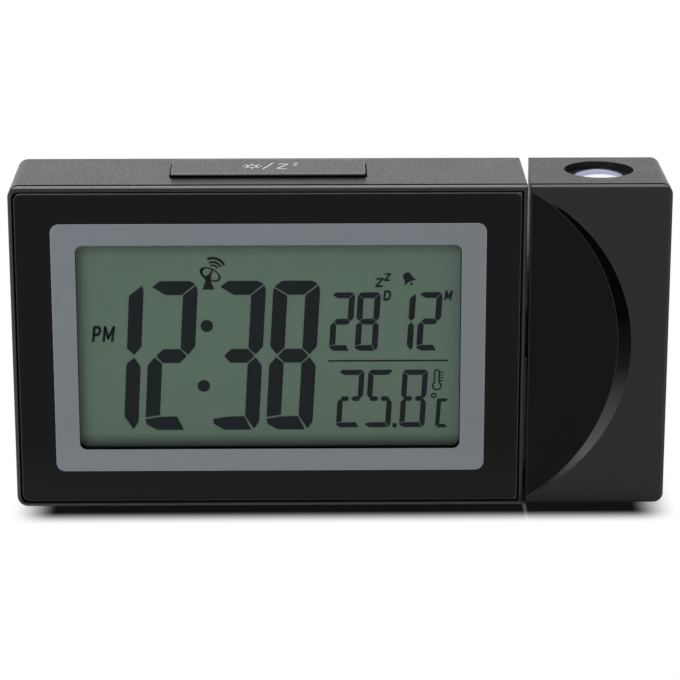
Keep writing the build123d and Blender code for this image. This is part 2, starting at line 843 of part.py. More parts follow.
def battery_door():
    door = block(bay_x0 - door_overlap, bay_x1 + door_overlap, door_front, case_depth,
                 bay_z0 - door_overlap, bay_z1 + door_overlap)
    for side in (-1, 1):
        x0 = display_x + side * tongue_spread - tongue_width / 2
        tongue_back = door_front - bay_rim_thickness - door_side_gap
        door += block(x0, x0 + tongue_width, tongue_back - tongue_thickness, door_front,
                      bay_z0, bay_z0 + tongue_height)
        door += block(x0, x0 + tongue_width, tongue_back - tongue_thickness, tongue_back,
                      bay_z0 - tongue_reach, bay_z0 + tongue_height)
    door += block(display_x - latch_width / 2, display_x + latch_width / 2,
                  door_front - latch_length, door_front,
                  bay_z1 - latch_space - latch_thickness, bay_z1 - latch_space)
    grip = rounded_prism(display_x, bay_z1 - door_grip_height, door_grip_width, door_grip_height,
                         door_grip_height / 3, case_depth - door_grip_depth, case_depth)
    return door - grip


# ---------------------------------------------------------------- display case: controls
def tact_switch():
    """Push switch that stands on the XY plane."""
    body = Pos(0, 0, switch_body_height / 2) * Box(switch_size, switch_size, switch_body_height)
    plunger = Pos(0, 0, switch_body_height + switch_plunger_height / 2) * Cylinder(
        switch_plunger_radius, switch_plunger_height)
    return body + plunger


def snooze_key():
    top = top_z + key_rise
    key = key_plan(0, key_flange_bottom, top, key_corner_radius - key_gap)
    key = fillet(key.edges().group_by(Axis.Z)[-1], key_edge_radius)
    key += key_plan(key_flange, key_flange_bottom, key_flange_top, key_corner_radius)
    key -= key_plan(-key_skin, key_flange_bottom, top - key_skin, key_corner_radius - key_gap)
    return key + column(display_x, lens_y, key_nub_radius, key_nub_bottom, top - key_skin)


def snooze_board():
    board = block(display_x - snooze_board_width / 2, display_x + snooze_board_width / 2,
                  board_back + snooze_board_gap, top_axis_depth + snooze_board_behind,
                  snooze_shelf_z, snooze_board_top)
    return board - Pos(0, 0, board_thickness) * shelf_screw_holes()


def snooze_switch():
    return Pos(display_x, lens_y, snooze_board_top) * tact_switch()


def button_board():
    board = block(button_board_x0, button_board_x1, button_board_front, button_board_back,
                  button_board_z0, button_board_z1)
    for x, z in button_board_bosses:
        board -= board_screw_hole(x, z, button_board_front, button_board_back)
    return board


def facing_back(x, depth, z):
    """Place whose local Z points to the back."""
    return Plane(origin=(x, front_y + depth, z), x_dir=(1, 0, 0), z_dir=(0, 1, 0))


def button_switches():
    """One push switch under each rear button."""
    return Compound([facing_back(x, button_board_back, button_z) * tact_switch() for x in button_x])


def rear_button(x):
    """Rear button: cap through the wall and a flange inside it."""
    cap = rounded_prism(x, button_z, button_width, button_height, button_corner_radius,
                        button_flange_front, case_depth - button_sink)
    flange = rounded_prism(x, button_z, button_width + 2 * button_flange, button_height + 2 * button_flange,
                           button_corner_radius, button_flange_front, button_flange_back)
    return cap + flange


def alarm_switch():
    """Body of the alarm's slide switch."""
    return block(slider_x + slider_travel / 2 - slide_switch_width / 2,
                 slider_x + slider_travel / 2 + slide_switch_width / 2,
                 button_board_back, button_board_back + switch_body_height,
                 button_z - slide_switch_height / 2, button_z + slide_switch_height / 2)


def alarm_slider():
    """Knob of the alarm's slide switch, shown at its left end."""
    knob = block(slider_x - slider_width / 2, slider_x + slider_width / 2,
                 button_flange_front, case_depth - button_sink,
                 button_z - slider_height / 2, button_z + slider_height / 2)
    reach = slider_width / 2 + slider_travel + button_flange / 2
    knob += block(slider_x - reach, slider_x + reach, button_flange_front, button_flange_back,
                  button_z - slider_flange_height / 2, button_z + slider_flange_height / 2)
    leg_tip = button_board_back + switch_body_height + slider_leg_gap
    return knob + block(slider_x - slider_leg / 2, slider_x + slider_leg / 2, leg_tip, button_flange_front,
                        button_z - slider_leg / 2, button_z + slider_leg / 2)


def temperature_sensor():
    """Bead on two short legs."""
    x = button_board_x0 + sensor_inset
    z = (button_board_z0 + button_board_z1) / 2
    depth = button_board_back + sensor_stand_off
    bead = Pos(x, front_y + depth, z) * Sphere(sensor_radius)
    for side in (-1, 1):
        bead += post(x + side * sensor_radius / 2, z, sensor_lead_radius, button_board_back, depth)
    return bead


def power_jack():
    half = jack_size / 2
    body_back = back_inner - seat_gap
    nose_end = case_depth - button_sink
    jack = block(jack_x - half, jack_x + half, body_back - jack_length, body_back, jack_z - half, jack_z + half)
    jack += post(jack_x, jack_z, jack_nose_radius, body_back, nose_end)
    jack -= post(jack_x, jack_z, jack_bore_radius, nose_end - jack_bore_depth, nose_end)
    pin_start = nose_end - jack_bore_depth
    return jack + post(jack_x, jack_z, jack_pin_radius, pin_start, pin_start + jack_pin_length)


def sounder():
    far = back_inner - sounder_face_gap
    return post(sounder_x, sounder_z, sounder_radius, far - sounder_thickness, far)


def aerial_rod():
    return column(aerial_x, front_y + aerial_depth, aerial_radius, aerial_z0, aerial_z1)


def aerial_coil():
    middle = (aerial_z0 + aerial_z1) / 2
    y = front_y + aerial_depth
    coil = column(aerial_x, y, coil_radius, middle - coil_length / 2, middle + coil_length / 2)
    return coil - column(aerial_x, y, aerial_radius, middle - coil_length / 2, middle + coil_length / 2)


def arm_socket():
    """Socket on the main board for the projector's cable, on the swivel's axis."""
    x1 = hub_end - hub_tail - cable_end_gap
    return block(x1 - socket_length, x1, board_back, pivot_depth + socket_size / 2,
                 pivot_z - socket_size / 2, pivot_z + socket_size / 2)


def case_screws():
    return Compound([case_screw(x, z) for x, z in case_bosses])


def board_screws():
    """Small screws of the three circuit boards."""
    size = (board_screw_radius, board_screw_head_radius, board_screw_head_height, board_screw_length)
    screws = [screw_to_front(x, z, board_back, *size) for x, z in main_board_bosses]
    screws += [screw_to_back(x, z, button_board_front, *size) for x, z in button_board_bosses]
    for side in (-1, 1):
        x = display_x + side * shelf_rib_spread
        head = column(x, lens_y, board_screw_head_radius, snooze_board_top,
                      snooze_board_top + board_screw_head_height)
        shank_end = max(snooze_board_top - board_screw_length, snooze_shelf_z - shelf_rib_height)
        screws.append(head + column(x, lens_y, board_screw_radius, shank_end, snooze_board_top))
    return Compound(screws)


# ---------------------------------------------------------------- swivel
def pivot_hub():
    """Hollow shaft between the two housings, flanged inside the projector."""
    hub = axle(hub_radius, hub_end, cavity_left)
    hub += axle(hub_shoulder_radius, main_right + hub_play, cavity_left)
    hub += axle(hub_flange_radius, cavity_left, flange_end)
    hub -= axle(hub_bore_radius, hub_end, flange_end)
    groove = (clip_x0 - running_gap, clip_x1 + running_gap)
    hub -= axle(hub_radius, *groove) - axle(clip_groove_radius, *groove)
    for y, z in hub_screw_places():
        hub -= Pos(0, y, z) * axle(hub_screw_radius + seat_gap, cavity_left, flange_end)
    return hub


def hub_screw_places():
    """Screw centres (Y, Z) from the swivel's axis, the first one straight above it."""
    places = []
    for i in range(hub_screw_count):
        angle = math.radians(90 + 360 / hub_screw_count * i)
        places.append((hub_screw_circle * math.cos(angle), hub_screw_circle * math.sin(angle)))
    return places


def hub_screws():
    screws = []
    for y, z in hub_screw_places():
        head = axle(hub_screw_head_radius, flange_end, flange_end + hub_screw_head_height)
        shank = axle(hub_screw_radius, cavity_left - hub_screw_length, flange_end)
        screws.append(Pos(0, y, z) * (head + shank))
    return Compound(screws)


def friction_washer():
    """Dished spring washer between the bearing and the clip."""
    inner = hub_radius + 2 * seat_gap
    start = (clip_x1 + hub_play / 2, front_y + pivot_depth, pivot_z)
    profile = Polygon((0, inner), (washer_thickness, inner),
                      (washer_thickness + washer_rise, washer_radius), (washer_rise, washer_radius),
                      align=None)
    plane = Plane(origin=start, x_dir=(1, 0, 0), z_dir=(0, 0, 1))
    return revolve(plane * profile, axis=Axis(start, (1, 0, 0)))


def retaining_clip():
    """Open clip in the hub's groove."""
    clip = axle(clip_radius, clip_x0, clip_x1) - axle(clip_groove_radius + running_gap, clip_x0, clip_x1)
    return clip - block(clip_x0, clip_x1, pivot_depth - clip_opening / 2, pivot_depth + clip_opening / 2,
                        pivot_z - clip_radius, pivot_z)


def projector_cable():
    """Cable along the swivel's axis, then down to the lamp board."""
    start = (hub_end - hub_tail, 0, pivot_z)
    corner = (cable_x, 0, pivot_z)
    end = (cable_x, 0, tube_z0)
    path = FilletPolyline(start, corner, end, radius=cable_bend_radius)
    section = Plane(origin=path @ 0, z_dir=path % 0) * Circle(cable_radius)
    return sweep(section, path=path)


# ---------------------------------------------------------------- projector: shells
def crescent_cutter():
    """Round recess whose floor is flush at the inner side and deepest at the far side."""
    apex_x = arm_left + crescent_reach
    floor_end = apex_x - crescent_bank_width
    slope = crescent_depth / (floor_end - arm_left)
    bank = crescent_bank_width / crescent_depth
    reach = 2 * crescent_depth
    centre = Plane(origin=(apex_x - crescent_radius, front_y, pivot_z), x_dir=(1, 0, 0), z_dir=(0, 1, 0))
    bowl = centre * Pos(0, 0, reach / 2) * Cone(crescent_radius, crescent_radius - bank * reach, reach)
    far_x = arm_right
    wedge = Polygon((arm_left, front_y), (far_x, front_y), (far_x, front_y + slope * (far_x - arm_left)),
                    align=None)
    return bowl & extrude(Pos(0, 0, arm_bottom) * wedge, amount=top_z - arm_bottom)


def projector_front():
    plate_back = split_depth + cover_floor
    cover = front_lip(arm_outline(0)) + prism(arm_outline(groove_depth), lip_depth, split_depth)
    cover += prism(arm_cavity_outline(seat_gap), split_depth, spigot_depth)
    cover -= prism(arm_cavity_outline(seat_gap + spigot_wall), plate_back, spigot_depth)
    for x, z in arm_bosses:
        cover += front_boss(x, z, arm_boss_radius, lip_depth)
    cover -= crescent_cutter()
    cover -= column(lens_x, lens_y, wheel_radius + wheel_relief, wheel_z0 - wheel_relief, wheel_z1 + wheel_relief)
    for x, z in arm_bosses:
        cover -= case_screw_hole(x, z, case_screw_tip, case_boss_meet)
    return cover


def heel_profile(inset):
    """Side view of the projector with its rounded lower back edge."""
    y0 = front_y
    y1 = back_y - inset
    z0 = arm_bottom + inset
    z1 = top_z - inset
    shape = Pos((y0 + y1) / 2, (z0 + z1) / 2) * Rectangle(y1 - y0, z1 - z0)
    lower = shape.vertices().group_by(Axis.Y)[0]
    return fillet(lower.group_by(Axis.X)[-1], arm_heel_radius - inset)


def inner_side_cut():
    """Wedge that leans the projector's inner side away from the display case."""
    lean = arm_draft * (case_depth - split_depth) / case_depth
    start = arm_draft - lean
    wedge = Polygon((arm_left - arm_gap, front_y + split_depth), (arm_left + start, front_y + split_depth),
                    (arm_left + arm_draft, back_y), (arm_left - arm_gap, back_y), align=None)
    return extrude(Pos(0, 0, arm_bottom) * wedge, amount=top_z - arm_bottom)


def focus_shelves():
    """Two shelves that hold the focus wheel and guide the lens barrel."""
    shelves = Part()
    for z in (lower_shelf_z, upper_shelf_z):
        shelves += block(cavity_left, arm_right - wall, shelf_front_depth, back_inner, z, z + shelf_thickness)
        shelves -= column(lens_x, lens_y, barrel_radius + running_gap, z, z + shelf_thickness)
    return shelves


def thumb_scoop():
    """Dished finger recess with a slot through which the focus wheel is turned."""
    y = back_y + scoop_radius - scoop_depth
    z = (wheel_z0 + wheel_z1) / 2
    plane = Plane(origin=(lens_x - scoop_width / 2, y, z), x_dir=(0, 1, 0), z_dir=(1, 0, 0))
    scoop = extrude(plane * Circle(scoop_radius), amount=scoop_width)
    return scoop + block(lens_x - wheel_slot_width / 2, lens_x + wheel_slot_width / 2, back_inner, case_depth,
                         wheel_z0 - shelf_gap, wheel_z1 + shelf_gap)


def projector_rear():
    rear = prism(arm_outline(0), split_depth, case_depth)
    rear = fillet(rear.edges().group_by(Axis.Y)[-1], back_edge_radius)
    rear &= side_slab(heel_profile(0), arm_left, arm_right)
    rear -= inner_side_cut()
    cavity = prism(arm_cavity_outline(0), split_depth, back_inner)
    rear -= cavity & side_slab(heel_profile(wall), arm_left, arm_right)
    rear += focus_shelves()
    for x, z in arm_bosses:
        rear += rear_boss(x, z, arm_boss_radius)
        rear -= rear_boss_bore(x, z)
    for x, z in ears:
        rear += post(x, z, board_boss_radius, ear_depth + ear_thickness, back_inner)
        rear -= board_screw_hole(x, z, ear_depth + ear_thickness, ear_depth + board_screw_length + seat_gap)
    rear -= thumb_scoop()
    rear -= column(lens_x, lens_y, lens_hole_radius, top_z - wall, top_z)
    rear -= axle(hub_shoulder_radius + seat_gap, arm_left, cavity_left)
    for y, z in hub_screw_places():
        rear -= Pos(0, y, z) * axle(hub_screw_radius + seat_gap, arm_left, cavity_left)
    return rear


def projector_screws():
    return Compound([case_screw(x, z) for x, z in arm_bosses])


# ---------------------------------------------------------------- projector: optics
def lens_barrel():
    barrel = column(lens_x, lens_y, barrel_radius, barrel_z0, barrel_z1)
    barrel -= column(lens_x, lens_y, barrel_bore_radius, barrel_z0, barrel_z1)
    return barrel - column(lens_x, lens_y, lens_seat_radius + running_gap, barrel_z1 - lens_seat_depth,
                           barrel_z1)


def barrel_spring():
    """Coil spring under the barrel that takes up the play in its thread."""
    lower = lower_shelf_z - tube_upper_bore_length + barrel_spring_wire_radius
    height = barrel_z0 - barrel_spring_gap - barrel_spring_wire_radius - lower
    coil = Helix(pitch=height / barrel_spring_turns, height=height, radius=barrel_spring_radius,
                 center=(lens_x, lens_y, lower))
    start = Plane(origin=coil @ 0, z_dir=coil % 0)
    return sweep(start * Circle(barrel_spring_wire_radius), path=coil)


def plano_convex(radius, edge, rise):
    """Lens with a flat underside on the XY plane and a domed top."""
    sphere_radius = (radius ** 2 + rise ** 2) / (2 * rise)
    dome = Pos(0, 0, edge + rise - sphere_radius) * Sphere(sphere_radius)
    blank = Pos(0, 0, (edge + rise) / 2) * Cylinder(radius, edge + rise)
    return blank & dome


def projection_lens():
    return Pos(lens_x, lens_y, barrel_z1 - lens_seat_depth) * plano_convex(lens_seat_radius, lens_thickness,
                                                                           lens_rise)


def focus_wheel():
    """Knurled wheel round the lens barrel."""
    wheel = column(lens_x, lens_y, wheel_radius, wheel_z0, wheel_z1)
    wheel -= column(lens_x, lens_y, barrel_radius + running_gap, wheel_z0, wheel_z1)
    groove = Pos(wheel_radius, 0, 0) * Cylinder(wheel_groove_radius, wheel_height)
    place = Pos(lens_x, lens_y, (wheel_z0 + wheel_z1) / 2)
    return wheel - [place * Rot(0, 0, 360 / wheel_grooves * i) * groove for i in range(wheel_grooves)]


def optics_tube():
    """Tube that lines up the lamp, the condenser, the projected display and the lens."""
    tube_z1 = lower_shelf_z
    tube = column(lens_x, lens_y, tube_radius, tube_z0, tube_z1)
    tube += block(lens_x - tube_foot_width / 2, lens_x + tube_foot_width / 2,
                  top_axis_depth - tube_foot_depth / 2, top_axis_depth + tube_foot_depth / 2,
                  tube_z0, tube_z0 + tube_foot_thickness)
    for x, z in ears:
        tube += block(min(x - ear_size / 2, lens_x), max(x + ear_size / 2, lens_x),
                      ear_depth, ear_depth + ear_thickness, z - ear_size / 2, z + ear_size / 2)
        tube -= board_screw_hole(x, z, ear_depth, ear_depth + ear_thickness)
    tube -= column(lens_x, lens_y, tube_ledge_radius, tube_z0, condenser_z)
    tube -= column(lens_x, lens_y, tube_bore_radius, condenser_z, tube_z1)
    tube -= column(lens_x, lens_y, tube_upper_bore_radius, tube_z1 - tube_upper_bore_length, tube_z1)
    half = slide_width / 2 + seat_gap
    tube -= block(lens_x - half, lens_x + half, top_axis_depth - slide_depth, top_axis_depth + half,
                  slide_z - seat_gap, slide_z + slide_thickness + seat_gap)
    for side in (-1, 1):
        tube -= column(lens_x + side * tube_foot_screw_spread, lens_y, board_screw_radius + seat_gap,
                       tube_z0, tube_z0 + board_screw_length)
    return tube


def condenser_lens():
    return Pos(lens_x, lens_y, condenser_z) * plano_convex(condenser_radius, condenser_edge, condenser_rise)


def projection_lcd():
    """Small display whose picture is projected."""
    far = top_axis_depth + slide_width / 2
    return block(lens_x - slide_width / 2, lens_x + slide_width / 2, far - slide_depth, far,
                 slide_z, slide_z + slide_thickness)


def lamp_board():
    board = block(lens_x - led_board_left, lens_x + led_board_right,
                  top_axis_depth - tube_foot_depth / 2, top_axis_depth + tube_foot_depth / 2,
                  led_board_z0, tube_z0)
    for side in (-1, 1):
        board -= column(lens_x + side * tube_foot_screw_spread, lens_y, board_screw_radius + seat_gap,
                        led_board_z0, tube_z0)
    return board


def projector_led():
    body = column(lens_x, lens_y, led_radius, tube_z0, tube_z0 + led_body_height)
    return body + Pos(lens_x, lens_y, tube_z0 + led_body_height) * Sphere(led_radius)


def optics_screws():
    """Two screws through the tube's ears and two through the lamp board."""
    screws = [screw_to_back(x, z, ear_depth, board_screw_radius, board_screw_head_radius,
                            board_screw_head_height, board_screw_length) for x, z in ears]
    for side in (-1, 1):
        x = lens_x + side * tube_foot_screw_spread
        head = column(x, lens_y, board_screw_head_radius, led_board_z0 - board_screw_head_height, led_board_z0)
        screws.append(head + column(x, lens_y, board_screw_radius, led_board_z0,
                                    led_board_z0 + board_screw_length))
    return Compound(screws)


# ---------------------------------------------------------------- all pieces
pieces = {
    "front_frame": front_frame(),
    "main_case": main_case(),
    "feet": feet(),
    "display_window": display_window(),
    "lcd_panel": lcd_panel(),
    "light_guide": light_guide(),
    "backlight_leds": backlight_leds(),
    "lcd_holder": lcd_holder(),
    "zebra_strips": zebra_strips(),
    "main_board": main_board(),
    "main_chip": main_chip(),
    "board_ribbon": board_ribbon(),
    "battery_cell_lower": battery_cell(0),
    "battery_cell_upper": battery_cell(1),
    "contact_springs": contact_springs(),
    "contact_plates": contact_plates(),
    "battery_door": battery_door(),
    "snooze_key": snooze_key(),
    "snooze_board": snooze_board(),
    "snooze_switch": snooze_switch(),
    "button_board": button_board(),
    "button_switches": button_switches(),
    "alarm_switch": alarm_switch(),
    "alarm_slider": alarm_slider(),
    "temperature_sensor": temperature_sensor(),
    "power_jack": power_jack(),
    "sounder": sounder(),
    "aerial_rod": aerial_rod(),
    "aerial_coil": aerial_coil(),
    "arm_socket": arm_socket(),
    "case_screws": case_screws(),
    "board_screws": board_screws(),
    "pivot_hub": pivot_hub(),
    "hub_screws": hub_screws(),
    "friction_washer": friction_washer(),
    "retaining_clip": retaining_clip(),
    "projector_cable": projector_cable(),
    "projector_front": projector_front(),
    "projector_rear": projector_rear(),
    "projector_screws": projector_screws(),
    "lens_barrel": lens_barrel(),
    "barrel_spring": barrel_spring(),
    "projection_lens": projection_lens(),
    "focus_wheel": focus_wheel(),
    "optics_tube": optics_tube(),
    "condenser_lens": condenser_lens(),
    "projection_lcd": projection_lcd(),
    "lamp_board": lamp_board(),
    "projector_led": projector_led(),
    "optics_screws": optics_screws(),
}
button_names = ("clock_set_button", "alarm_set_button", "plus_button", "minus_button", "unit_button",
                "signal_button")
for name, x in zip(button_names, button_x):
    pieces[name] = rear_button(x)

os.makedirs("parts", exist_ok=True)
for name, piece in pieces.items():
    export_step(piece, f"parts/{name}.step")
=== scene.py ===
import math

import bmesh
import bpy
from mathutils import Matrix, Vector


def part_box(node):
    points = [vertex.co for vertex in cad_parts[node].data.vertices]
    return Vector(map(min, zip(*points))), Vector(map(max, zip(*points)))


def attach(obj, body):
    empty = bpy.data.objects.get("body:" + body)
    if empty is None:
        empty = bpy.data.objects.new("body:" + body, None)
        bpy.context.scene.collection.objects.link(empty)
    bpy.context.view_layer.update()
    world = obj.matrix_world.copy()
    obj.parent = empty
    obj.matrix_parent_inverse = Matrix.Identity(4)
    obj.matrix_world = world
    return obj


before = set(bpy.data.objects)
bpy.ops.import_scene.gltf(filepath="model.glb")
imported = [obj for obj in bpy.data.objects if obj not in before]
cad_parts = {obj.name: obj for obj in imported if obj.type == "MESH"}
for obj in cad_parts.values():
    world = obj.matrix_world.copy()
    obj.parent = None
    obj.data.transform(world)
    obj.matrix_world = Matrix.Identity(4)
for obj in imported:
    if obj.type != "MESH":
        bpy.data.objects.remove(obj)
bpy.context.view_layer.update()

MM = 0.001

# The part's own measures that the looks need, in mm. An outline is a low corner, a high corner and
# the radius of all four.
case_front, case_back, case_side, case_top, case_foot, key_top = -13.6, 13.6, 74.0, 76.2, 0.8, 77.2
# Where the painted shade over the groove between the front covers and the shells begins and ends.
groove_front, groove_back = -12.9, -11.65
projector_side_front, projector_side_back = 42.3, 43.7    # next to the clock, and leaning away from it
panel_front, display_front = -13.4, -10.8
panel_outline = (-72.75, 2.05), (40.45, 74.6), 1.6
display_opening = (-59.35, 14.55), (27.05, 62.6), 1.6
key_outline = (-38.3, -5.8), (6.0, 8.46), 0.8
crescent_x, crescent_z, crescent_radius = 26.2, 38.7, 39.5
crescent_depth, crescent_reach = 1.5, 20.4

case_black = (0.0124, 0.0110, 0.0119)
# The colour of the painted highlight on rounded edges.
painted_edge_highlight = (0.166, 0.158, 0.162)


# ---------------------------------------------------------------- finishes

class Wire:
    """One output of a node. Sums written with wires add the Math nodes they need."""

    def __init__(self, nodes, socket):
        self.nodes, self.socket = nodes, socket

    def reckon(self, operation, *terms):
        return self.nodes.add("ShaderNodeMath", {"operation": operation}, dict(enumerate(terms)))

    def __add__(self, other):
        return self.reckon("ADD", self, other)

    def __sub__(self, other):
        return self.reckon("SUBTRACT", self, other)

    def __rsub__(self, other):
        return self.reckon("SUBTRACT", other, self)

    def __mul__(self, other):
        return self.reckon("MULTIPLY", self, other)

    def __truediv__(self, other):
        return self.reckon("DIVIDE", self, other)

    def __lt__(self, other):
        return self.reckon("LESS_THAN", self, other)

    def __gt__(self, other):
        return self.reckon("GREATER_THAN", self, other)

    def __abs__(self):
        return self.reckon("ABSOLUTE", self)

    def __pow__(self, other):
        return self.reckon("POWER", self, other)

    def at_least(self, other):
        return self.reckon("MAXIMUM", self, other)

    def at_most(self, other):
        return self.reckon("MINIMUM", self, other)

    def repeat(self, length):
        """Rises from 0 to length and falls back to 0, again and again."""
        return self.reckon("PINGPONG", self, length)

    def fade(self, start, stop, rise="LINEAR"):
        """0 at start and 1 at stop, with an even or a soft rise between them."""
        return self.nodes.add("ShaderNodeMapRange", {"clamp": True, "interpolation_type": rise},
                              {"Value": self, "From Min": start, "From Max": stop})

    def other(self, name):
        """Another output of the same node."""
        return Wire(self.nodes, self.socket.node.outputs[name])


class Nodes:
    """The nodes of one finish, of the floor or of the studio's light."""

    def __init__(self, owner):
        owner.use_nodes = True
        self.owner, self.tree = owner, owner.node_tree
        self.tree.nodes.clear()

    def add(self, kind, settings=None, inputs=None, output=0):
        """Adds a node: its settings first, then the values or wires of its sockets."""
        node = self.tree.nodes.new(kind)
        for name, value in (settings or {}).items():
            setattr(node, name, value)
        for name, value in (inputs or {}).items():
            socket = node.inputs[name]
            if isinstance(value, Wire):
                self.tree.links.new(value.socket, socket)
            elif isinstance(value, tuple):
                socket.default_value = (*value, 1)[:len(socket.default_value)]
            else:
                socket.default_value = value
        return Wire(self, node.outputs[output]) if node.outputs else None

    def here(self):
        """A point of the piece at rest, in metres."""
        return self.add("ShaderNodeTexCoord", output="Object")

    def axes(self, here, names="XYZ"):
        """The coordinates of a point that are named."""
        split = self.add("ShaderNodeSeparateXYZ", inputs={0: here})
        return [split.other(name) for name in names]

    def mix(self, share, first, second):
        """Mixes two colours; the node's sockets for colours are told apart only by number."""
        return self.add("ShaderNodeMix", {"data_type": "RGBA"}, {0: share, 6: first, 7: second},
                        output=2)

    def noise(self, here, size, detail=2.0, roughness=0.5):
        """Cloudy noise whose patches are about as large as size."""
        return self.add("ShaderNodeTexNoise", inputs={
            "Vector": here, "Scale": 1 / size, "Detail": detail, "Roughness": roughness})

    def stretched(self, here, scale):
        return self.add("ShaderNodeMapping", inputs={"Vector": here, "Scale": scale})

    def bump(self, height, depth):
        return self.add("ShaderNodeBump", inputs={"Height": height, "Distance": depth, "Strength": 1.0})

    def shader(self, colour, rough, **others):
        """The plastic, metal or glass shader; others names its sockets with _ for a space."""
        sockets = {name.replace("_", " "): value for name, value in others.items()}
        sockets.update({"Base Color": colour, "Roughness": rough})
        return self.add("ShaderNodeBsdfPrincipled", inputs=sockets)

    def painted_shade_black(self, fine):
        """Painted shade: a matt near black for places that are to look as if no light gets into them.
        """
        black = self.mix(fine, (0.0012, 0.0012, 0.0013), (0.0022, 0.0021, 0.0023))
        return self.shader(black, fine * 0.1 + 0.6, Specular_IOR_Level=0.02)

    def blend(self, share, first, second):
        """Mixes two shaders."""
        return self.add("ShaderNodeMixShader", inputs={0: share, 1: first, 2: second})

    def close(self, surface):
        self.add("ShaderNodeOutputMaterial", inputs={"Surface": surface})
        return self.owner


def finish(name):
    return Nodes(bpy.data.materials.new(name))


def scaled(colour, share):
    return tuple(min(1, c * share) for c in colour)


def moulded(name, colour, rough, grain=0.45, depth=0.012, shine=0.28, wander=0.2, painted_shade=None,
            edges=None):
    """Moulded plastic: a sparked grain, as fine as grain and as deep as depth in mm, and slight changes
    of gloss and, by the share wander, of tone. shaded marks the places, such as a groove, that get
    painted shade, a matt near black, and edges marks rounded edges that get a painted highlight."""
    f = finish(name)
    here = f.here()
    x, y, z = f.axes(here)
    fine, broad = f.noise(here, grain * MM, 3, 0.6), f.noise(here, 9 * MM, 2)
    tone = (fine * 0.7 + broad * 0.3).fade(0.3, 0.7)
    paint = f.mix(tone, scaled(colour, 1 - wander), scaled(colour, 1 + wander))
    # Painted highlight on the rounded edges that edges marks.
    if edges:
        paint = f.mix(edges(x, y, z), paint, painted_edge_highlight)
    plastic = f.shader(paint, (fine - 0.5) * 0.4 + (broad - 0.5) * 0.08 + rough,
                       Specular_IOR_Level=shine, Normal=f.bump(fine, depth * MM))
    # Painted shade: a matt near black where shaded marks.
    if painted_shade:
        plastic = f.blend(painted_shade(x, y, z), plastic, f.painted_shade_black(fine))
    return f.close(plastic)


def cover_edge_highlights(x, y, z):
    """Painted highlight on the front covers' upper edge, and a weaker one on their lower and outer
    edges.
    """
    upper = z.fade((case_top - 0.5) * MM, (case_top - 0.3) * MM)
    lower = z.fade((case_foot + 0.7) * MM, (case_foot + 0.5) * MM)
    outer = abs(x) > (case_side - 0.75) * MM
    return upper.at_least(lower * 0.36).at_least(outer * 0.14) * (y < groove_front * MM)


def groove(x, y, z):
    """Painted shade over the groove between the front covers and the shells behind them."""
    return (y > groove_front * MM) * (y < groove_back * MM)


def swivel_gap_shade(x, z, side=projector_side_back + 0.06):
    """Painted shade on the projector's side in the narrow gap beside the clock, full low down and
    fading out towards the top.
    """
    return (x < side * MM) * z.fade(63.5 * MM, 52.5 * MM)


def metal(name, colour, rough, stretch=(1, 1, 1), line=0.12):
    """Bright metal with drawn or rolled lines and a little dulling."""
    f = finish(name)
    here = f.here()
    lines, dull = f.noise(f.stretched(here, stretch), line * MM, 3, 0.6), f.noise(here, 2.5 * MM, 3)
    paint = f.mix(dull.fade(0.35, 0.75), colour, scaled(colour, 0.72))
    return f.close(f.shader(paint, lines * 0.16 + dull * 0.18 + rough - 0.1, Metallic=1.0,
                            Normal=f.bump(lines, 0.004 * MM)))


def outside(u, v, low, high, radius):
    """How far a point lies outside an outline with round corners, in metres, and below 0 within it."""
    middle = [(a + b) / 2 * MM for a, b in zip(low, high)]
    half = [(b - a) / 2 * MM - radius * MM for a, b in zip(low, high)]
    across, up = (abs(u - middle[0]) - half[0]).at_least(0), (abs(v - middle[1]) - half[1]).at_least(0)
    return (across * across + up * up) ** 0.5 - radius * MM


def key_gap_shade(x, y, z):
    """Painted shade in the gap at the snooze key's ends and front, and on the edge next to it."""
    return (outside(x, y, *key_outline) < 0.14 * MM) * (y < 7 * MM) * (z > 73 * MM)


def key_side_shade(x, y, z):
    """Painted shade on the snooze key's sides below its rounded edge."""
    return z.fade((key_top - 0.14) * MM, (key_top - 0.55) * MM)


def key_edge_highlights(x, y, z):
    """Painted highlight on the snooze key's rounded edge, brightest in front."""
    rim = outside(x, y, *key_outline) > -0.55 * MM
    return (rim + (y > 7.3 * MM)).at_most(1) * 0.48 + (y < -5.2 * MM) * 0.4


def glossy_panel():
    """Acrylic panel: printed black behind and clear over the display, with a painted highlight line
    round its edge that is brightest along the top, and painted light that makes the black lighter
    towards the bottom.
    """
    f = finish("display_panel_acrylic")
    here = f.here()
    x, z = f.axes(here, "XZ")
    printed_black = outside(x, z, *display_opening).fade(-0.02 * MM, 0.04 * MM)
    haze = f.noise(here, 6 * MM, 3)
    dust = f.noise(here, 0.5 * MM, 2).fade(0.68, 0.8)
    paint = f.mix(haze, (0.0036, 0.0034, 0.0036), (0.0052, 0.0048, 0.0050))
    # Painted light: the black is lighter towards the bottom.
    paint = f.mix(z.fade(16 * MM, 4 * MM), paint, (0.0094, 0.0088, 0.0091))
    # A painted highlight line round the panel's edge, brightest along the top.
    line = (outside(x, z, *panel_outline) > -0.25 * MM) * (z.fade(74.1 * MM, 74.4 * MM) * 0.6 + 0.4)
    paint = f.mix(line, paint, (0.094, 0.090, 0.092))
    return f.close(f.shader(paint, haze * 0.05 + dust * 0.08 + 0.05, Specular_IOR_Level=0.09,
                            Alpha=printed_black * 0.93 + 0.07))


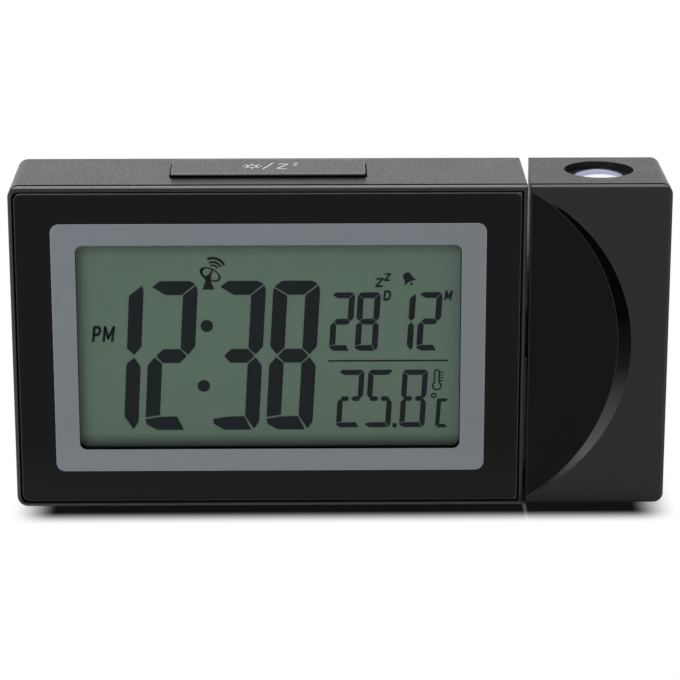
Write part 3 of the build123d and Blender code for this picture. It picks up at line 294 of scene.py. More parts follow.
def display_glass():
    """Reflecting liquid crystal display: grey green, with painted shade along its foot below the frame.
    """
    f = finish("display_grey_green")
    here = f.here()
    z, = f.axes(here, "Z")
    # Painted shade along the display's foot, below the frame.
    foot = (z - display_opening[0][1] * MM).fade(-1.6 * MM, 2.9 * MM)
    grain = f.noise(here, 0.25 * MM, 2)
    paint = f.mix(grain, (0.125, 0.186, 0.143), (0.132, 0.195, 0.151))
    paint = f.mix(foot, (0.012, 0.015, 0.013), paint)
    return f.close(f.shader(paint, grain * 0.06 + 0.3, Specular_IOR_Level=0.2))


def projector_cover():
    """The projector's front cover: satin all over, with a painted highlight along its edges and painted
    shade in the groove and the swivel gap, and glossy in the crescent. The bank round the crescent has
    light and shade painted on: black in its upper part, lit in its lower part, a lit facet near its
    upper tip and a highlight line along its inner edge."""
    f = finish("projector_cover_black")
    here = f.here()
    x, y, z = f.axes(here)
    radius = crescent_radius * MM
    across, up = x - crescent_x * MM, (z - crescent_z * MM) / radius
    dish = (across * across + up * up * radius ** 2) ** 0.5 < radius + 0.03 * MM
    dish = dish * (y > (case_front + 0.02) * MM) * (y < (groove_back - 0.05) * MM)
    dish = dish * (x > (projector_side_front + 0.3) * MM)
    floor = (x - projector_side_front * MM) * (crescent_depth / crescent_reach) + case_front * MM
    above_floor = floor - y
    bank = (above_floor > 0.03 * MM) * dish
    # A painted highlight line along the bank's inner edge.
    line = (above_floor < 0.11 * MM) * bank
    # Painted light and shade on the bank: lit in its lower part, black in its upper part, with a lit
    # facet near its upper tip.
    painted_low_light = up.fade(-0.12, -0.62) * (1 - up.fade(-0.66, -0.84) * 0.93)
    grey, painted_tip_light = up.fade(0.18, -0.12), up.fade(0.81, 0.86)
    fine, broad = f.noise(here, 0.35 * MM, 3, 0.6), f.noise(here, 9 * MM)
    grain = f.mix(fine.fade(0.25, 0.75), scaled(case_black, 0.9), scaled(case_black, 1.12))
    # Painted highlight along the cover's edges.
    grain = f.mix(cover_edge_highlights(x, y, z) * 0.6, grain, painted_edge_highlight)
    satin = f.shader(grain, (fine - 0.5) * 0.12 + (broad - 0.5) * 0.08 + 0.33,
                     Specular_IOR_Level=0.22, Normal=f.bump(fine, 0.1 * MM))
    polished = f.mix(broad, (0.0046, 0.0038, 0.0042), (0.0054, 0.0044, 0.0048))
    gloss = f.shader(polished, broad * 0.06 + 0.14, Specular_IOR_Level=0.06)
    # The bank's painted light and shade, put together from the masks above.
    painted_bank_light = f.mix(grey, (0.0012, 0.0011, 0.0011), (0.0100, 0.0094, 0.0096))
    painted_bank_light = f.mix(painted_low_light, f.mix(painted_tip_light, painted_bank_light, (0.040, 0.037, 0.038)), (0.098, 0.092, 0.094))
    painted_bank_light = f.mix(line, painted_bank_light, (0.030, 0.028, 0.029))
    matt = f.shader(painted_bank_light, fine * 0.1 + 0.5, Specular_IOR_Level=0.01)
    # Painted shade in the groove and in the swivel gap.
    painted_shade_mask = (groove(x, y, z) * (1 - dish) + swivel_gap_shade(x, z, projector_side_front + 0.08)).at_most(1)
    cover = f.blend(painted_shade_mask, satin, f.painted_shade_black(fine))
    return f.close(f.blend(dish, cover, f.blend(bank, gloss, matt)))


def circuit(name, plane="XZ"):
    """Green solder mask over copper tracks, with bare tinned pads."""
    f = finish(name)
    here = f.here()
    u, v = f.axes(here, plane)
    wander = f.noise(here, 14 * MM, 1)
    long_way = (u + wander * 6 * MM).repeat(1.1 * MM) < 0.32 * MM
    short_way = (v + wander * 9 * MM).repeat(1.6 * MM) < 0.34 * MM
    region = f.noise(here, 17 * MM, 0) > 0.5
    track = (long_way * region + short_way * (1 - region)).at_most(1)
    pitch = 2.54 * MM
    hole_u, hole_v = u.repeat(pitch) - pitch / 2, v.repeat(pitch) - pitch / 2
    pad = ((hole_u * hole_u + hole_v * hole_v) ** 0.5 < 0.42 * MM) * (f.noise(here, 6 * MM, 0) > 0.56)
    weave = f.noise(here, 0.6 * MM, 2)
    mask = f.mix(track, (0.010, 0.070, 0.024), (0.022, 0.130, 0.042))
    mask = f.mix(weave * 0.25, mask, (0.004, 0.030, 0.012))
    paint = f.mix(pad, mask, (0.55, 0.53, 0.49))
    return f.close(f.shader(paint, pad * 0.05 + weave * 0.12 + 0.28, Metallic=pad,
                            Specular_IOR_Level=0.4, Normal=f.bump((track + pad).at_most(1), 0.03 * MM)))


def cell_wrap(name, minus_end, plus_end):
    """A cell's shrunk wrap: slate, a copper band at the plus end, bare steel at both ends. The ends are
    in mm along x."""
    f = finish(name)
    here = f.here()
    x, = f.axes(here, "X")
    along = (x - minus_end * MM) / ((plus_end - minus_end) * MM)
    band_start, thin_ring = 0.76, 0.05
    steel = (along < 0.012) + (along > 0.972)
    band = along > band_start
    ring = (abs(along - band_start) < 0.006) + (abs(along - thin_ring) < 0.004)
    sheen = f.noise(f.stretched(here, (0.1, 1, 1)), 1.2 * MM, 2)
    paint = f.mix(band, (0.030, 0.036, 0.046), (0.420, 0.190, 0.075))
    paint = f.mix(ring.at_most(1), paint, (0.62, 0.60, 0.56))
    paint = f.mix(steel.at_most(1), paint, (0.66, 0.65, 0.63))
    return f.close(f.shader(paint, sheen * 0.14 + 0.22, Metallic=(steel + band * 0.7).at_most(1),
                            Normal=f.bump(sheen, 0.01 * MM)))


def wound_wire():
    """Turns of enamelled copper wire."""
    f = finish("coil_enamelled_wire")
    here = f.here()
    z, = f.axes(here, "Z")
    wire = 0.16 * MM
    turn = z.repeat(wire) / wire
    paint = f.mix(turn, (0.16, 0.050, 0.020), (0.56, 0.22, 0.085))
    return f.close(f.shader(paint, f.noise(here, 0.8 * MM) * 0.2 + 0.22, Metallic=0.8,
                            Normal=f.bump(turn, 0.05 * MM)))


def ferrite_stick():
    f = finish("ferrite_stick")
    pits = f.noise(f.here(), 0.5 * MM, 4, 0.7)
    paint = f.mix(pits, (0.020, 0.020, 0.021), (0.045, 0.044, 0.046))
    return f.close(f.shader(paint, pits * 0.25 + 0.4, Normal=f.bump(pits, 0.05 * MM)))


def rubber(name, colour, rough=0.7):
    """Dull rubber with a little dust on it."""
    f = finish(name)
    here = f.here()
    skin, dust = f.noise(here, 0.3 * MM, 3, 0.65), f.noise(here, 3 * MM, 3)
    paint = f.mix(dust.fade(0.45, 0.8), colour, tuple(c * 1.5 + 0.004 for c in colour))
    return f.close(f.shader(paint, skin * 0.16 + rough - 0.08, Specular_IOR_Level=0.3,
                            Normal=f.bump(skin, 0.03 * MM)))


def coated_lens(name, middle, radius, dark, tint, bright):
    """Coated glass: darker towards its rim, with a painted reflection, a bright band, across its front.
    """
    f = finish(name)
    here = f.here()
    x, y = f.axes(here, "XY")
    across, along = x - middle[0] * MM, y - middle[1] * MM
    out = (across * across + along * along) ** 0.5 / (radius * MM)
    smear = f.noise(here, 3 * MM, 3)
    # Painted reflection: a bright band across the lens's front.
    paint = f.mix(along.fade(-2.1 * MM, -2.8 * MM), tint, bright)
    paint = f.mix((out + smear * 0.02).fade(0.80, 0.86), paint, dark)
    return f.close(f.shader(paint, smear * 0.08 + 0.12, Specular_IOR_Level=0.25))


def clear_moulding(name, colour, alpha=0.45):
    """Clear plastic or glass, partly see-through, with faint flow marks."""
    f = finish(name)
    flow = f.noise(f.here(), 4 * MM, 2)
    return f.close(f.shader(f.mix(flow, colour, scaled(colour, 1.12)), flow * 0.08 + 0.08, Alpha=alpha))


def ribbon_cable():
    """Flat cable of grey wires side by side."""
    f = finish("ribbon_grey_wires")
    here = f.here()
    x, = f.axes(here, "X")
    width = 0.5 * MM
    wire = x.repeat(width) / width
    paint = f.mix(wire.fade(0.05, 0.5), (0.20, 0.20, 0.21), (0.52, 0.52, 0.53))
    return f.close(f.shader(paint, f.noise(here, 2 * MM) * 0.1 + 0.4, Normal=f.bump(wire, 0.15 * MM)))


def printed(name, colour, rough=0.45, lower=None):
    """Screen-printed ink with the mesh's faint pinholes; lower, if given, is painted light: the colour
    it fades into below the display.
    """
    f = finish(name)
    here = f.here()
    speck, cloud = f.noise(here, 0.12 * MM, 2), f.noise(here, 4 * MM, 2)
    paint = f.mix(speck * 0.5 + cloud * 0.5, scaled(colour, 0.94), scaled(colour, 1.06))
    # Painted light: the colour fades into lower below the display.
    if lower:
        z, = f.axes(here, "Z")
        paint = f.mix(z.fade(20 * MM, 12 * MM), paint, lower)
    return f.close(f.shader(paint, cloud * 0.1 + rough - 0.05, Specular_IOR_Level=0.15,
                            Normal=f.bump(speck, 0.002 * MM)))


def striped_rubber():
    """Elastomer connector: conducting and insulating layers in turn."""
    f = finish("zebra_rubber")
    here = f.here()
    x, = f.axes(here, "X")
    layer = x.repeat(0.1 * MM) > 0.05 * MM
    paint = f.mix(layer, (0.30, 0.30, 0.31), (0.015, 0.015, 0.016))
    return f.close(f.shader(paint, f.noise(here, 1 * MM) * 0.1 + 0.6))


# The front frame's plastic, with painted shade in the groove and a painted highlight on its edges.
case_plastic = moulded("case_black_plastic", case_black, 0.33, depth=0.1, painted_shade=groove,
                       edges=cover_edge_highlights)
door_plastic = moulded("door_black_plastic", (0.0108, 0.0105, 0.0109), 0.36, depth=0.03)
# The snooze key's plastic, with painted shade on its sides and a painted highlight on its rounded edge.
key_plastic = moulded("key_black_plastic", (0.0126, 0.0112, 0.0121), 0.32, grain=0.7, depth=0.16,
                      shine=0.37, painted_shade=key_side_shade, edges=key_edge_highlights)
button_plastic = moulded("button_black_plastic", (0.0120, 0.0118, 0.0124), 0.42, grain=0.5)
wheel_plastic = moulded("wheel_black_plastic", (0.0110, 0.0110, 0.0116), 0.45, grain=0.6)
inner_black = moulded("inner_black_plastic", (0.0085, 0.0083, 0.0088), 0.4, grain=0.8, shine=0.35)
white_plastic = moulded("white_plastic", (0.66, 0.66, 0.64), 0.4, grain=0.8, shine=0.4, wander=0.04)
chip_plastic = moulded("chip_epoxy", (0.012, 0.012, 0.013), 0.55, grain=0.15, depth=0.02, shine=0.3)
bright_steel = metal("contact_steel", (0.64, 0.63, 0.61), 0.24, (1, 1, 0.15))
screw_steel = metal("screw_zinc", (0.56, 0.56, 0.57), 0.28)
spring_steel = metal("spring_steel", (0.60, 0.60, 0.60), 0.22, line=0.3)

made_of = {
    "front_frame": case_plastic,
    # The main case has painted shade in the groove and round the snooze key; the projector's rear has
    # it in the groove and the swivel gap.
    "main_case": moulded("main_case_black_plastic", case_black, 0.33, grain=0.7, depth=0.16, shine=0.36,
                         painted_shade=lambda x, y, z: (groove(x, y, z) + key_gap_shade(x, y, z)).at_most(1)),
    "projector_rear": moulded("projector_black_plastic", case_black, 0.33, grain=0.7, depth=0.16,
                              shine=0.22,
                              painted_shade=lambda x, y, z: (groove(x, y, z) + swivel_gap_shade(x, z)).at_most(1)),
    "projector_front": projector_cover(), "battery_door": door_plastic, "snooze_key": key_plastic,
    "display_window": glossy_panel(), "lcd_panel": display_glass(),
    "projection_lcd": clear_moulding("projected_display", (0.16, 0.18, 0.20), 0.85),
    "lcd_holder": white_plastic,
    "light_guide": clear_moulding("light_guide_acrylic", (0.75, 0.78, 0.76)),
    "backlight_leds": white_plastic, "zebra_strips": striped_rubber(),
    "main_board": circuit("main_board_mask"), "button_board": circuit("button_board_mask"),
    "snooze_board": circuit("snooze_board_mask", "XY"), "lamp_board": circuit("lamp_board_mask", "XY"),
    "main_chip": chip_plastic, "board_ribbon": ribbon_cable(),
    "battery_cell_lower": cell_wrap("lower_cell_wrap", minus_end=-43.05, plus_end=7.15),
    "battery_cell_upper": cell_wrap("upper_cell_wrap", minus_end=10.75, plus_end=-39.45),
    "contact_springs": spring_steel, "contact_plates": bright_steel, "barrel_spring": spring_steel,
    "snooze_switch": inner_black, "button_switches": inner_black, "alarm_switch": bright_steel,
    "alarm_slider": button_plastic,
    "temperature_sensor": moulded("sensor_bead", (0.02, 0.019, 0.018), 0.35, shine=0.5),
    "power_jack": inner_black, "sounder": inner_black,
    "aerial_rod": ferrite_stick(), "aerial_coil": wound_wire(),
    "arm_socket": white_plastic, "case_screws": screw_steel, "board_screws": screw_steel,
    "projector_screws": screw_steel, "hub_screws": screw_steel, "optics_screws": screw_steel,
    "pivot_hub": inner_black, "friction_washer": bright_steel, "retaining_clip": bright_steel,
    "projector_cable": rubber("cable_sheath", (0.012, 0.012, 0.013), 0.5), "lens_barrel": inner_black,
    "focus_wheel": wheel_plastic,
    # The lens, with its painted reflection in the bright colour.
    "projection_lens": coated_lens("projection_lens_coating", middle=(58.8, 1.33), radius=6.6,
                                   dark=(0.032, 0.038, 0.075), tint=(0.22, 0.235, 0.40),
                                   bright=(0.76, 0.79, 0.83)),
    "optics_tube": inner_black, "condenser_lens": clear_moulding("condenser_glass", (0.80, 0.84, 0.88)),
    "projector_led": clear_moulding("lamp_dome", (0.80, 0.78, 0.66), 0.5),
    "feet": rubber("foot_rubber", (0.010, 0.010, 0.011)),
}
for name in ("clock_set", "alarm_set", "plus", "minus", "unit", "signal"):
    made_of[name + "_button"] = button_plastic
for name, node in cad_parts.items():
    for holder in node.material_slots:
        holder.material = made_of[name]


# ---------------------------------------------------------------- drawings in mm, raised into pieces

def to_front(y):
    """Lays a drawing upright: x stays, up becomes z, and its thickness grows towards the front."""
    return Matrix(((MM, 0, 0, 0), (0, 0, -MM, y * MM), (0, MM, 0, 0), (0, 0, 0, 1)))


def to_back(x, y, z):
    """Lays a drawing on a face that looks backwards, so that it reads the right way from behind."""
    return Matrix(((-MM, 0, 0, x * MM), (0, 0, MM, y * MM), (0, MM, 0, z * MM), (0, 0, 0, 1)))


def to_top(z):
    """Lays a drawing on a face that looks up."""
    return Matrix(((MM, 0, 0, 0), (0, MM, 0, 0), (0, 0, MM, z * MM), (0, 0, 0, 1)))


def rounded_off(drawing, face, radius, segments):
    """Rounds off a flat face's corners, and returns the vertices that this makes."""
    made = bmesh.ops.bevel(drawing, geom=face.verts[:], offset=radius, offset_type="OFFSET",
                           affect="VERTICES", segments=segments, profile=0.5, material=-1)
    return set(made["verts"])


def patch(drawing, corners, rounding=0.0):
    """A flat patch with these corners, each rounded off by rounding."""
    face = drawing.faces.new([drawing.verts.new((x, y, 0)) for x, y in corners])
    if rounding:
        rounded_off(drawing, face, rounding, 3)
    return face


def bar(drawing, start, stop, width):
    """A straight stroke with slightly rounded ends."""
    a, b = Vector(start), Vector(stop)
    side = (b - a).orthogonal().normalized() * width / 2
    patch(drawing, [a + side, b + side, b - side, a - side], width * 0.3)


def disc(drawing, middle, radius):
    place = Matrix.Translation((*middle, 0))
    bmesh.ops.create_circle(drawing, cap_ends=True, segments=24, radius=radius, matrix=place)


def arc(drawing, middle, radius, width, start=0.0, stop=360.0, tall=1.0, tilt=0.0):
    """A curved stroke round a middle, from start to stop in degrees; tall stretches it upwards before
    tilt turns it."""
    before = set(drawing.verts)
    a, turn = math.radians(start), stop - start
    ends = [drawing.verts.new((r * math.cos(a), r * math.sin(a), 0))
            for r in (radius - width / 2, radius + width / 2)]
    line = drawing.edges.new(ends)
    bmesh.ops.spin(drawing, geom=[*ends, line], axis=(0, 0, 1), cent=(0, 0, 0), dvec=(0, 0, 0),
                   angle=math.radians(turn), steps=max(6, int(turn / 12)), use_merge=turn >= 360,
                   use_duplicate=False)
    made = [v for v in drawing.verts if v not in before]
    place = Matrix.Translation((*middle, 0)) @ Matrix.Rotation(tilt, 4, "Z")
    bmesh.ops.transform(drawing, matrix=place @ Matrix.Diagonal((1, tall, 1, 1)), verts=made)


def stamp(drawing, draw, place):
    """Draws in a drawing of its own and sets that down on another one."""
    own = bmesh.new()
    draw(own)
    own.transform(place)
    mesh = bpy.data.meshes.new("stamp")
    own.to_mesh(mesh)
    own.free()
    drawing.from_mesh(mesh)
    bpy.data.meshes.remove(mesh)


def path(drawing, points, width):
    """Straight strokes from point to point, each a little longer so that they join."""
    for start, stop in zip(points, points[1:]):
        a, b = Vector(start), Vector(stop)
        reach = (b - a).normalized() * width * 0.45
        bar(drawing, a - reach, b + reach, width)


def letter(drawing, sign, low, high, thick, lean=0.0):
    """A plain letter of even strokes between two corners; lean slants it."""
    h, half = high[1] - low[1] - thick, thick / 2
    w = high[0] - low[0] - thick - lean * h

    def strokes_of_letter(d):
        if sign == "M":
            path(d, [(0, 0), (0, h), (w / 2, h * 0.2), (w, h), (w, 0)], thick)
        elif sign in "zZ":
            path(d, [(0, h), (w, h), (0, 0), (w, 0)], thick)
        elif sign == "P":
            path(d, [(0, 0), (0, h), (w * 0.5, h)], thick)
            path(d, [(0, h * 0.46), (w * 0.5, h * 0.46)], thick)
            arc(d, (w * 0.5, h * 0.73), w * 0.5, thick, -90, 90, tall=h * 0.27 / (w * 0.5))
        elif sign == "D":
            path(d, [(w * 0.4, h), (0, h), (0, 0), (w * 0.4, 0)], thick)
            arc(d, (w * 0.4, h / 2), w * 0.6, thick, -90, 90, tall=h / 2 / (w * 0.6))
        elif sign == "C":
            arc(d, (w / 2, h / 2), w / 2, thick, 50, 310, tall=h / w)
        elif sign == "F":
            path(d, [(0, 0), (0, h), (w, h)], thick)
            path(d, [(0, h * 0.52), (w * 0.8, h * 0.52)], thick)

    stamp(drawing, strokes_of_letter,
          Matrix(((1, lean, 0, low[0] + half), (0, 1, 0, low[1] + half), (0, 0, 1, 0), (0, 0, 0, 1))))


def raised(name, drawing, lay, thickness, body, material):
    """Gives a flat drawing its thickness, lays it in place and makes a piece of it that rides on a
    body."""
    bmesh.ops.remove_doubles(drawing, verts=drawing.verts[:], dist=0.0005)
    bmesh.ops.recalc_face_normals(drawing, faces=drawing.faces[:])
    grown = bmesh.ops.extrude_face_region(drawing, geom=drawing.faces[:])["geom"]
    grown = [v for v in grown if isinstance(v, bmesh.types.BMVert)]
    bmesh.ops.translate(drawing, vec=(0, 0, thickness), verts=grown)
    bmesh.ops.transform(drawing, matrix=lay, verts=drawing.verts[:])
    bmesh.ops.recalc_face_normals(drawing, faces=drawing.faces[:])
    mesh = bpy.data.meshes.new(name)
    drawing.to_mesh(mesh)
    drawing.free()
    mesh.materials.append(material)
    made = bpy.data.objects.new(name, mesh)
    bpy.context.collection.objects.link(made)
    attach(made, body)


# ---------------------------------------------------------------- the display's figures

def strokes(wide, high, thick):
    """The outlines of a seven-stroke figure, named a to g from the top round to the middle bar."""
    w, h, t, m = wide, high, thick, high / 2
    return {
        "a": [(.08 * t, h - .42 * t), (.6 * t, h), (w - .6 * t, h), (w - .17 * t, h - .22 * t),
              (w - 1.08 * t, h - t), (1.03 * t, h - t)],
        "b": [(w - .12 * t, h - .31 * t), (w, h - .7 * t), (w, m + .68 * t), (w - .47 * t, m + .09 * t),
              (w - t, m + .55 * t), (w - t, h - 1.04 * t)],
        "c": [(w - .47 * t, m - .09 * t), (w, m - .74 * t), (w, .58 * t), (w - .33 * t, .07 * t),
              (w - t, 1.02 * t), (w - t, m - .57 * t)],
        "d": [(0, .79 * t), (.95 * t, .96 * t), (w - 1.05 * t, t), (w - .5 * t, 0), (.85 * t, 0),
              (.1 * t, .42 * t)],
        "e": [(.45 * t, m - .09 * t), (0, m - .66 * t), (0, .92 * t), (t, 1.08 * t), (t, m - .55 * t)],
        "f": [(.06 * t, h - .5 * t), (0, h - .75 * t), (0, m + .7 * t), (.48 * t, m + .09 * t),
              (t, m + .57 * t), (t, h - 1.08 * t)],
        "g": [(.56 * t, m), (t * 1.02, m + .5 * t), (w - t * 1.02, m + .5 * t), (w - .54 * t, m),
              (w - t * 1.02, m - .5 * t), (1.03 * t, m - .5 * t)],
    }


lit = {"1": "bc", "2": "abged", "3": "abgcd", "5": "afgcd", "8": "abcdefg"}
slant = 0.0573


def lozenge(a, b, m, t):
    """One half of a split middle bar: from a to b, at the height m."""
    return [(a, m), (a + .32 * t, m + .46 * t), (b - .32 * t, m + .46 * t),
            (b, m), (b - .32 * t, m - .46 * t), (a + .32 * t, m - .46 * t)]


def figures(drawing, places, base, wide, high, thick, split_bar=False):
    """Draws a figure at each place; places gives its left foot. A split bar is two lozenges."""
    middle, gap, tip = wide / 2, .2 * thick, .5 * thick
    shapes = {name: [outline] for name, outline in strokes(wide, high, thick).items()}
    if split_bar:
        shapes["g"] = [lozenge(tip, middle - gap, high / 2, thick),
                       lozenge(middle + gap, wide - tip, high / 2, thick)]
    for figure, left in places:
        for outline in (outline for stroke in lit[figure] for outline in shapes[stroke]):
            patch(drawing, [(left + x + slant * y, base + y) for x, y in outline], 0.05 * thick)


def bell(drawing, middle, size, tilt):
    """A bell about 3 high, times size, with its clapper below."""
    def outline(d):
        half = [(.8, -.72), (1.47, -.95), (1.15, -.45), (.98, 0), (.92, .55), (.84, 1.08),
                (.48, 1.4), (0, 1.5)]
        patch(d, [(0, -.6)] + half + [(-x, y) for x, y in reversed(half[:-1])], 0.06)
        disc(d, (0.05, -1.2), 0.3)

    turned = Matrix.Rotation(tilt, 4, "Z") @ Matrix.Scale(size, 4)
    stamp(drawing, outline, Matrix.Translation((*middle, 0)) @ turned)


display_ink = printed("display_ink", (0.0060, 0.0105, 0.0124), 0.4)
white_ink = printed("white_ink", (0.72, 0.72, 0.71))
# The grey frame's ink, with painted light making its run below the display lighter.
grey_ink = printed("grey_frame_ink", (0.176, 0.196, 0.213), lower=(0.195, 0.216, 0.234))

# How far ink stands proud, in mm: on the display and the buttons, and on larger faces.
thick_ink, thin_ink = 0.03, 0.02


def on_display(name, drawing):
    raised(name, drawing, to_front(display_front), thick_ink, "clock", display_ink)


time_figures = bmesh.new()
figures(time_figures, (("1", -56.77), ("2", -44.62), ("3", -29.26), ("8", -17.05)),
        base=18.29, wide=10.6, high=35.36, thick=3.3)
for middle in ((-30.19, 43.08), (-31.05, 28.83)):
    disc(time_figures, middle, 1.42)
on_display("time_figures", time_figures)

date_figures = bmesh.new()
figures(date_figures, (("2", -2.63), ("8", 3.17), ("1", 11.13), ("2", 17.12)),
        base=37.07, wide=5.2, high=13.79, thick=1.38)
letter(date_figures, "D", (9.62, 48.88), (11.6, 51.3), 0.5, 0.12)
letter(date_figures, "M", (23.37, 48.87), (25.34, 51.3), 0.46, 0.16)
bar(date_figures, (-2.78, 34.7), (24.45, 34.7), 0.38)
on_display("date_figures", date_figures)

warmth_figures = bmesh.new()
figures(warmth_figures, (("2", -1.06), ("5", 5.6), ("8", 13.38)),
        base=18.75, wide=5.8, high=13.79, thick=1.24, split_bar=True)
disc(warmth_figures, (12.36, 19.21), 0.57)
# The degree's letter and ring, and then the thermometer with its marks.
patch(warmth_figures, [(21.62, 19.02), (21.99, 25.3), (22.2, 25.62), (24.54, 25.62), (24.07, 24.9),
                       (22.98, 24.82), (22.6, 19.3)])
patch(warmth_figures, [(21.9, 18.67), (24.3, 18.66), (23.82, 19.5), (22.67, 19.5)])
arc(warmth_figures, (21.26, 26.37), 0.48, 0.38)
arc(warmth_figures, (21.93, 32.0), 0.52, 0.34, 0, 180)
for side in (-0.52, 0.52):
    bar(warmth_figures, (21.93 + side, 32.1), (21.93 + side, 29.4), 0.34)
arc(warmth_figures, (21.95, 28.67), 0.95, 0.36, -235, 55)
for height in (31.92, 31.25, 30.57, 29.89):
    bar(warmth_figures, (22.5, height), (23.45, height), 0.26)
on_display("warmth_figures", warmth_figures)

signs = bmesh.new()
letter(signs, "P", (-56.25, 39.3), (-53.9, 43.15), 0.64, 0.12)
letter(signs, "M", (-53.85, 39.3), (-50.9, 43.15), 0.6, 0.12)
letter(signs, "z", (7.8, 52.05), (9.8, 54.25), 0.48, 0.16)
letter(signs, "z", (9.78, 53.45), (11.42, 55.32), 0.42, 0.16)
bell(signs, (15.38, 53.94), 1.08, math.radians(27))
# The radio mast: its foot, its dish and its waves.
patch(signs, [(-31.08, 51.61), (-28.33, 51.61), (-29.16, 53.56), (-29.03, 54.31), (-29.05, 55.0),
              (-28.72, 55.8), (-28.6, 56.34), (-28.91, 56.34), (-29.2, 55.84), (-29.45, 55.3),
              (-30.29, 54.85), (-30.95, 55.1), (-30.6, 54.06), (-30.34, 53.65)])
arc(signs, (-29.27, 55.17), 2.3, 0.54, tall=0.56, tilt=math.radians(-27))
arc(signs, (-29.2, 55.17), 2.22, 0.62, 150, 235, tall=0.56, tilt=math.radians(-27))
for radius, width in ((2.86, 0.6), (1.95, 0.5), (1.2, 0.4)):
    arc(signs, (-28.71, 56.12), radius, width, 24, 114)
on_display("display_signs", signs)


# ---------------------------------------------------------------- prints on the panel and the key

def round_box(drawing, low, high, radius):
    """A flat face with rounded corners."""
    face = patch(drawing, [(low[0], low[1]), (high[0], low[1]), (high[0], high[1]), (low[0], high[1])])
    made = rounded_off(drawing, face, radius, 6)
    return next(f for f in drawing.faces if made & set(f.verts))


def frame_print(name, outer, inner, material, thickness):
    """A printed frame between two outlines."""
    drawing = bmesh.new()
    rims = []
    for outline in (outer, inner):
        face = round_box(drawing, *outline)
        rims += face.edges[:]
        bmesh.ops.delete(drawing, geom=[face], context="FACES_ONLY")
    bmesh.ops.bridge_loops(drawing, edges=rims)
    raised(name, drawing, to_front(panel_front), thickness, "clock", material)


frame_inner = (-59.33, 14.55), (27.13, 62.61), 1.6
frame_outer = (-64.68, 9.43), (32.55, 67.48), 1.9
frame_line = (-64.76, 9.35), (32.63, 67.56), 1.98
frame_print("panel_grey_frame", frame_outer, frame_inner, grey_ink, thin_ink)
# A thin lighter line round the grey frame's outer edge.
frame_print("panel_frame_edge", frame_line, frame_outer, printed("frame_edge_line", (0.33, 0.36, 0.40)),
            thin_ink + 0.002)

key_signs = bmesh.new()
sun = Vector((-19.85, 1.15))
arc(key_signs, sun, 1.1, 0.34)
for turn in range(8):
    ray = Vector((math.cos(math.radians(turn * 45)), math.sin(math.radians(turn * 45))))
    bar(key_signs, sun + ray * 1.55, sun + ray * 2.3, 0.32)
bar(key_signs, (-17.35, -1.43), (-15.12, 4.35), 0.3)
letter(key_signs, "Z", (-14.5, -1.44), (-11.45, 3.51), 0.36, 0.1)
letter(key_signs, "z", (-10.75, 1.85), (-9.3, 4.34), 0.28, 0.1)
raised("key_signs", key_signs, to_top(key_top), thin_ink, "snooze_key", white_ink)


# ---------------------------------------------------------------- signs on the back and its buttons

def on_button(name, draw, body):
    """Prints a sign on the middle of a button, which is a body and a node of the same name."""
    low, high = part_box(body)
    drawing = bmesh.new()
    draw(drawing)
    middle = (low + high) / 2 / MM
    place = to_back(middle.x, high.y / MM, middle.z)
    raised(name, drawing, place, thick_ink, body, white_ink)


def cross(arm, half):
    """The corners of an upright cross: how far it reaches across, and half the width of its arms."""
    a, h = arm / 2, half
    return [(h, h), (a, h), (a, -h), (h, -h), (h, -a), (-h, -a),
            (-h, -h), (-a, -h), (-a, h), (-h, h), (-h, a), (h, a)]


def clock_sign(d):
    arc(d, (0, 0), 1.3, 0.28)
    bar(d, (0, 0.06), (0, 0.85), 0.24)
    bar(d, (-0.06, 0), (0.62, 0), 0.24)


def unit_sign(d):
    arc(d, (-1.95, 0.75), 0.22, 0.16)
    letter(d, "C", (-1.6, -0.85), (-0.35, 0.85), 0.26)
    path(d, [(-0.1, -0.85), (0.45, 0.85)], 0.2)
    arc(d, (0.72, 0.75), 0.22, 0.16)
    letter(d, "F", (1.1, -0.85), (2.1, 0.85), 0.26)


def mast_sign(d):
    patch(d, [(-0.7, -1.3), (0.7, -1.3), (0.12, 0.5), (-0.12, 0.5)])
    for radius in (0.75, 1.35):
        arc(d, (0, 0.6), radius, 0.24, -35, 35)
        arc(d, (0, 0.6), radius, 0.24, 145, 215)


def plus_sign(d):
    patch(d, cross(2.4, 0.22), 0.04)


def alarm_on_sign(d):
    bell(d, (0, 0.1), 0.8, 0)


def alarm_off_sign(d):
    alarm_on_sign(d)
    bar(d, (-1.3, -1.2), (1.3, 1.4), 0.26)


# Each sign stands over the place of the alarm switch's knob that it is for.
for name, draw, x in (("alarm_on_sign", alarm_on_sign, 17.85),
                      ("alarm_off_sign", alarm_off_sign, 21.85)):
    sign = bmesh.new()
    draw(sign)
    raised(name, sign, to_back(x, case_back, 60.3), thin_ink, "clock", white_ink)
on_button("clock_set_sign", clock_sign, "clock_set_button")
on_button("alarm_set_sign", lambda d: bell(d, (0, 0.1), 1.05, 0), "alarm_set_button")
on_button("plus_sign", plus_sign, "plus_button")
on_button("minus_sign", lambda d: bar(d, (-1.2, 0), (1.2, 0), 0.44), "minus_button")
on_button("unit_sign", unit_sign, "unit_button")
on_button("signal_sign", mast_sign, "signal_button")


# ---------------------------------------------------------------- the screws' cross recesses, drawn as painted shade

def solids_of(node):
    """The boxes of a node's separate solids, from a merged copy of its mesh."""
    copy = bmesh.new()
    copy.from_mesh(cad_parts[node].data)
    bmesh.ops.remove_doubles(copy, verts=copy.verts[:], dist=1e-7)
    left, boxes = set(copy.verts), []
    while left:
        reach, found = [left.pop()], []
        while reach:
            v = reach.pop()
            found.append(v.co.copy())
            near = {e.other_vert(v) for e in v.link_edges} & left
            left -= near
            reach += near
        boxes.append([Vector(map(pick, zip(*found))) for pick in (min, max)])
    copy.free()
    return boxes


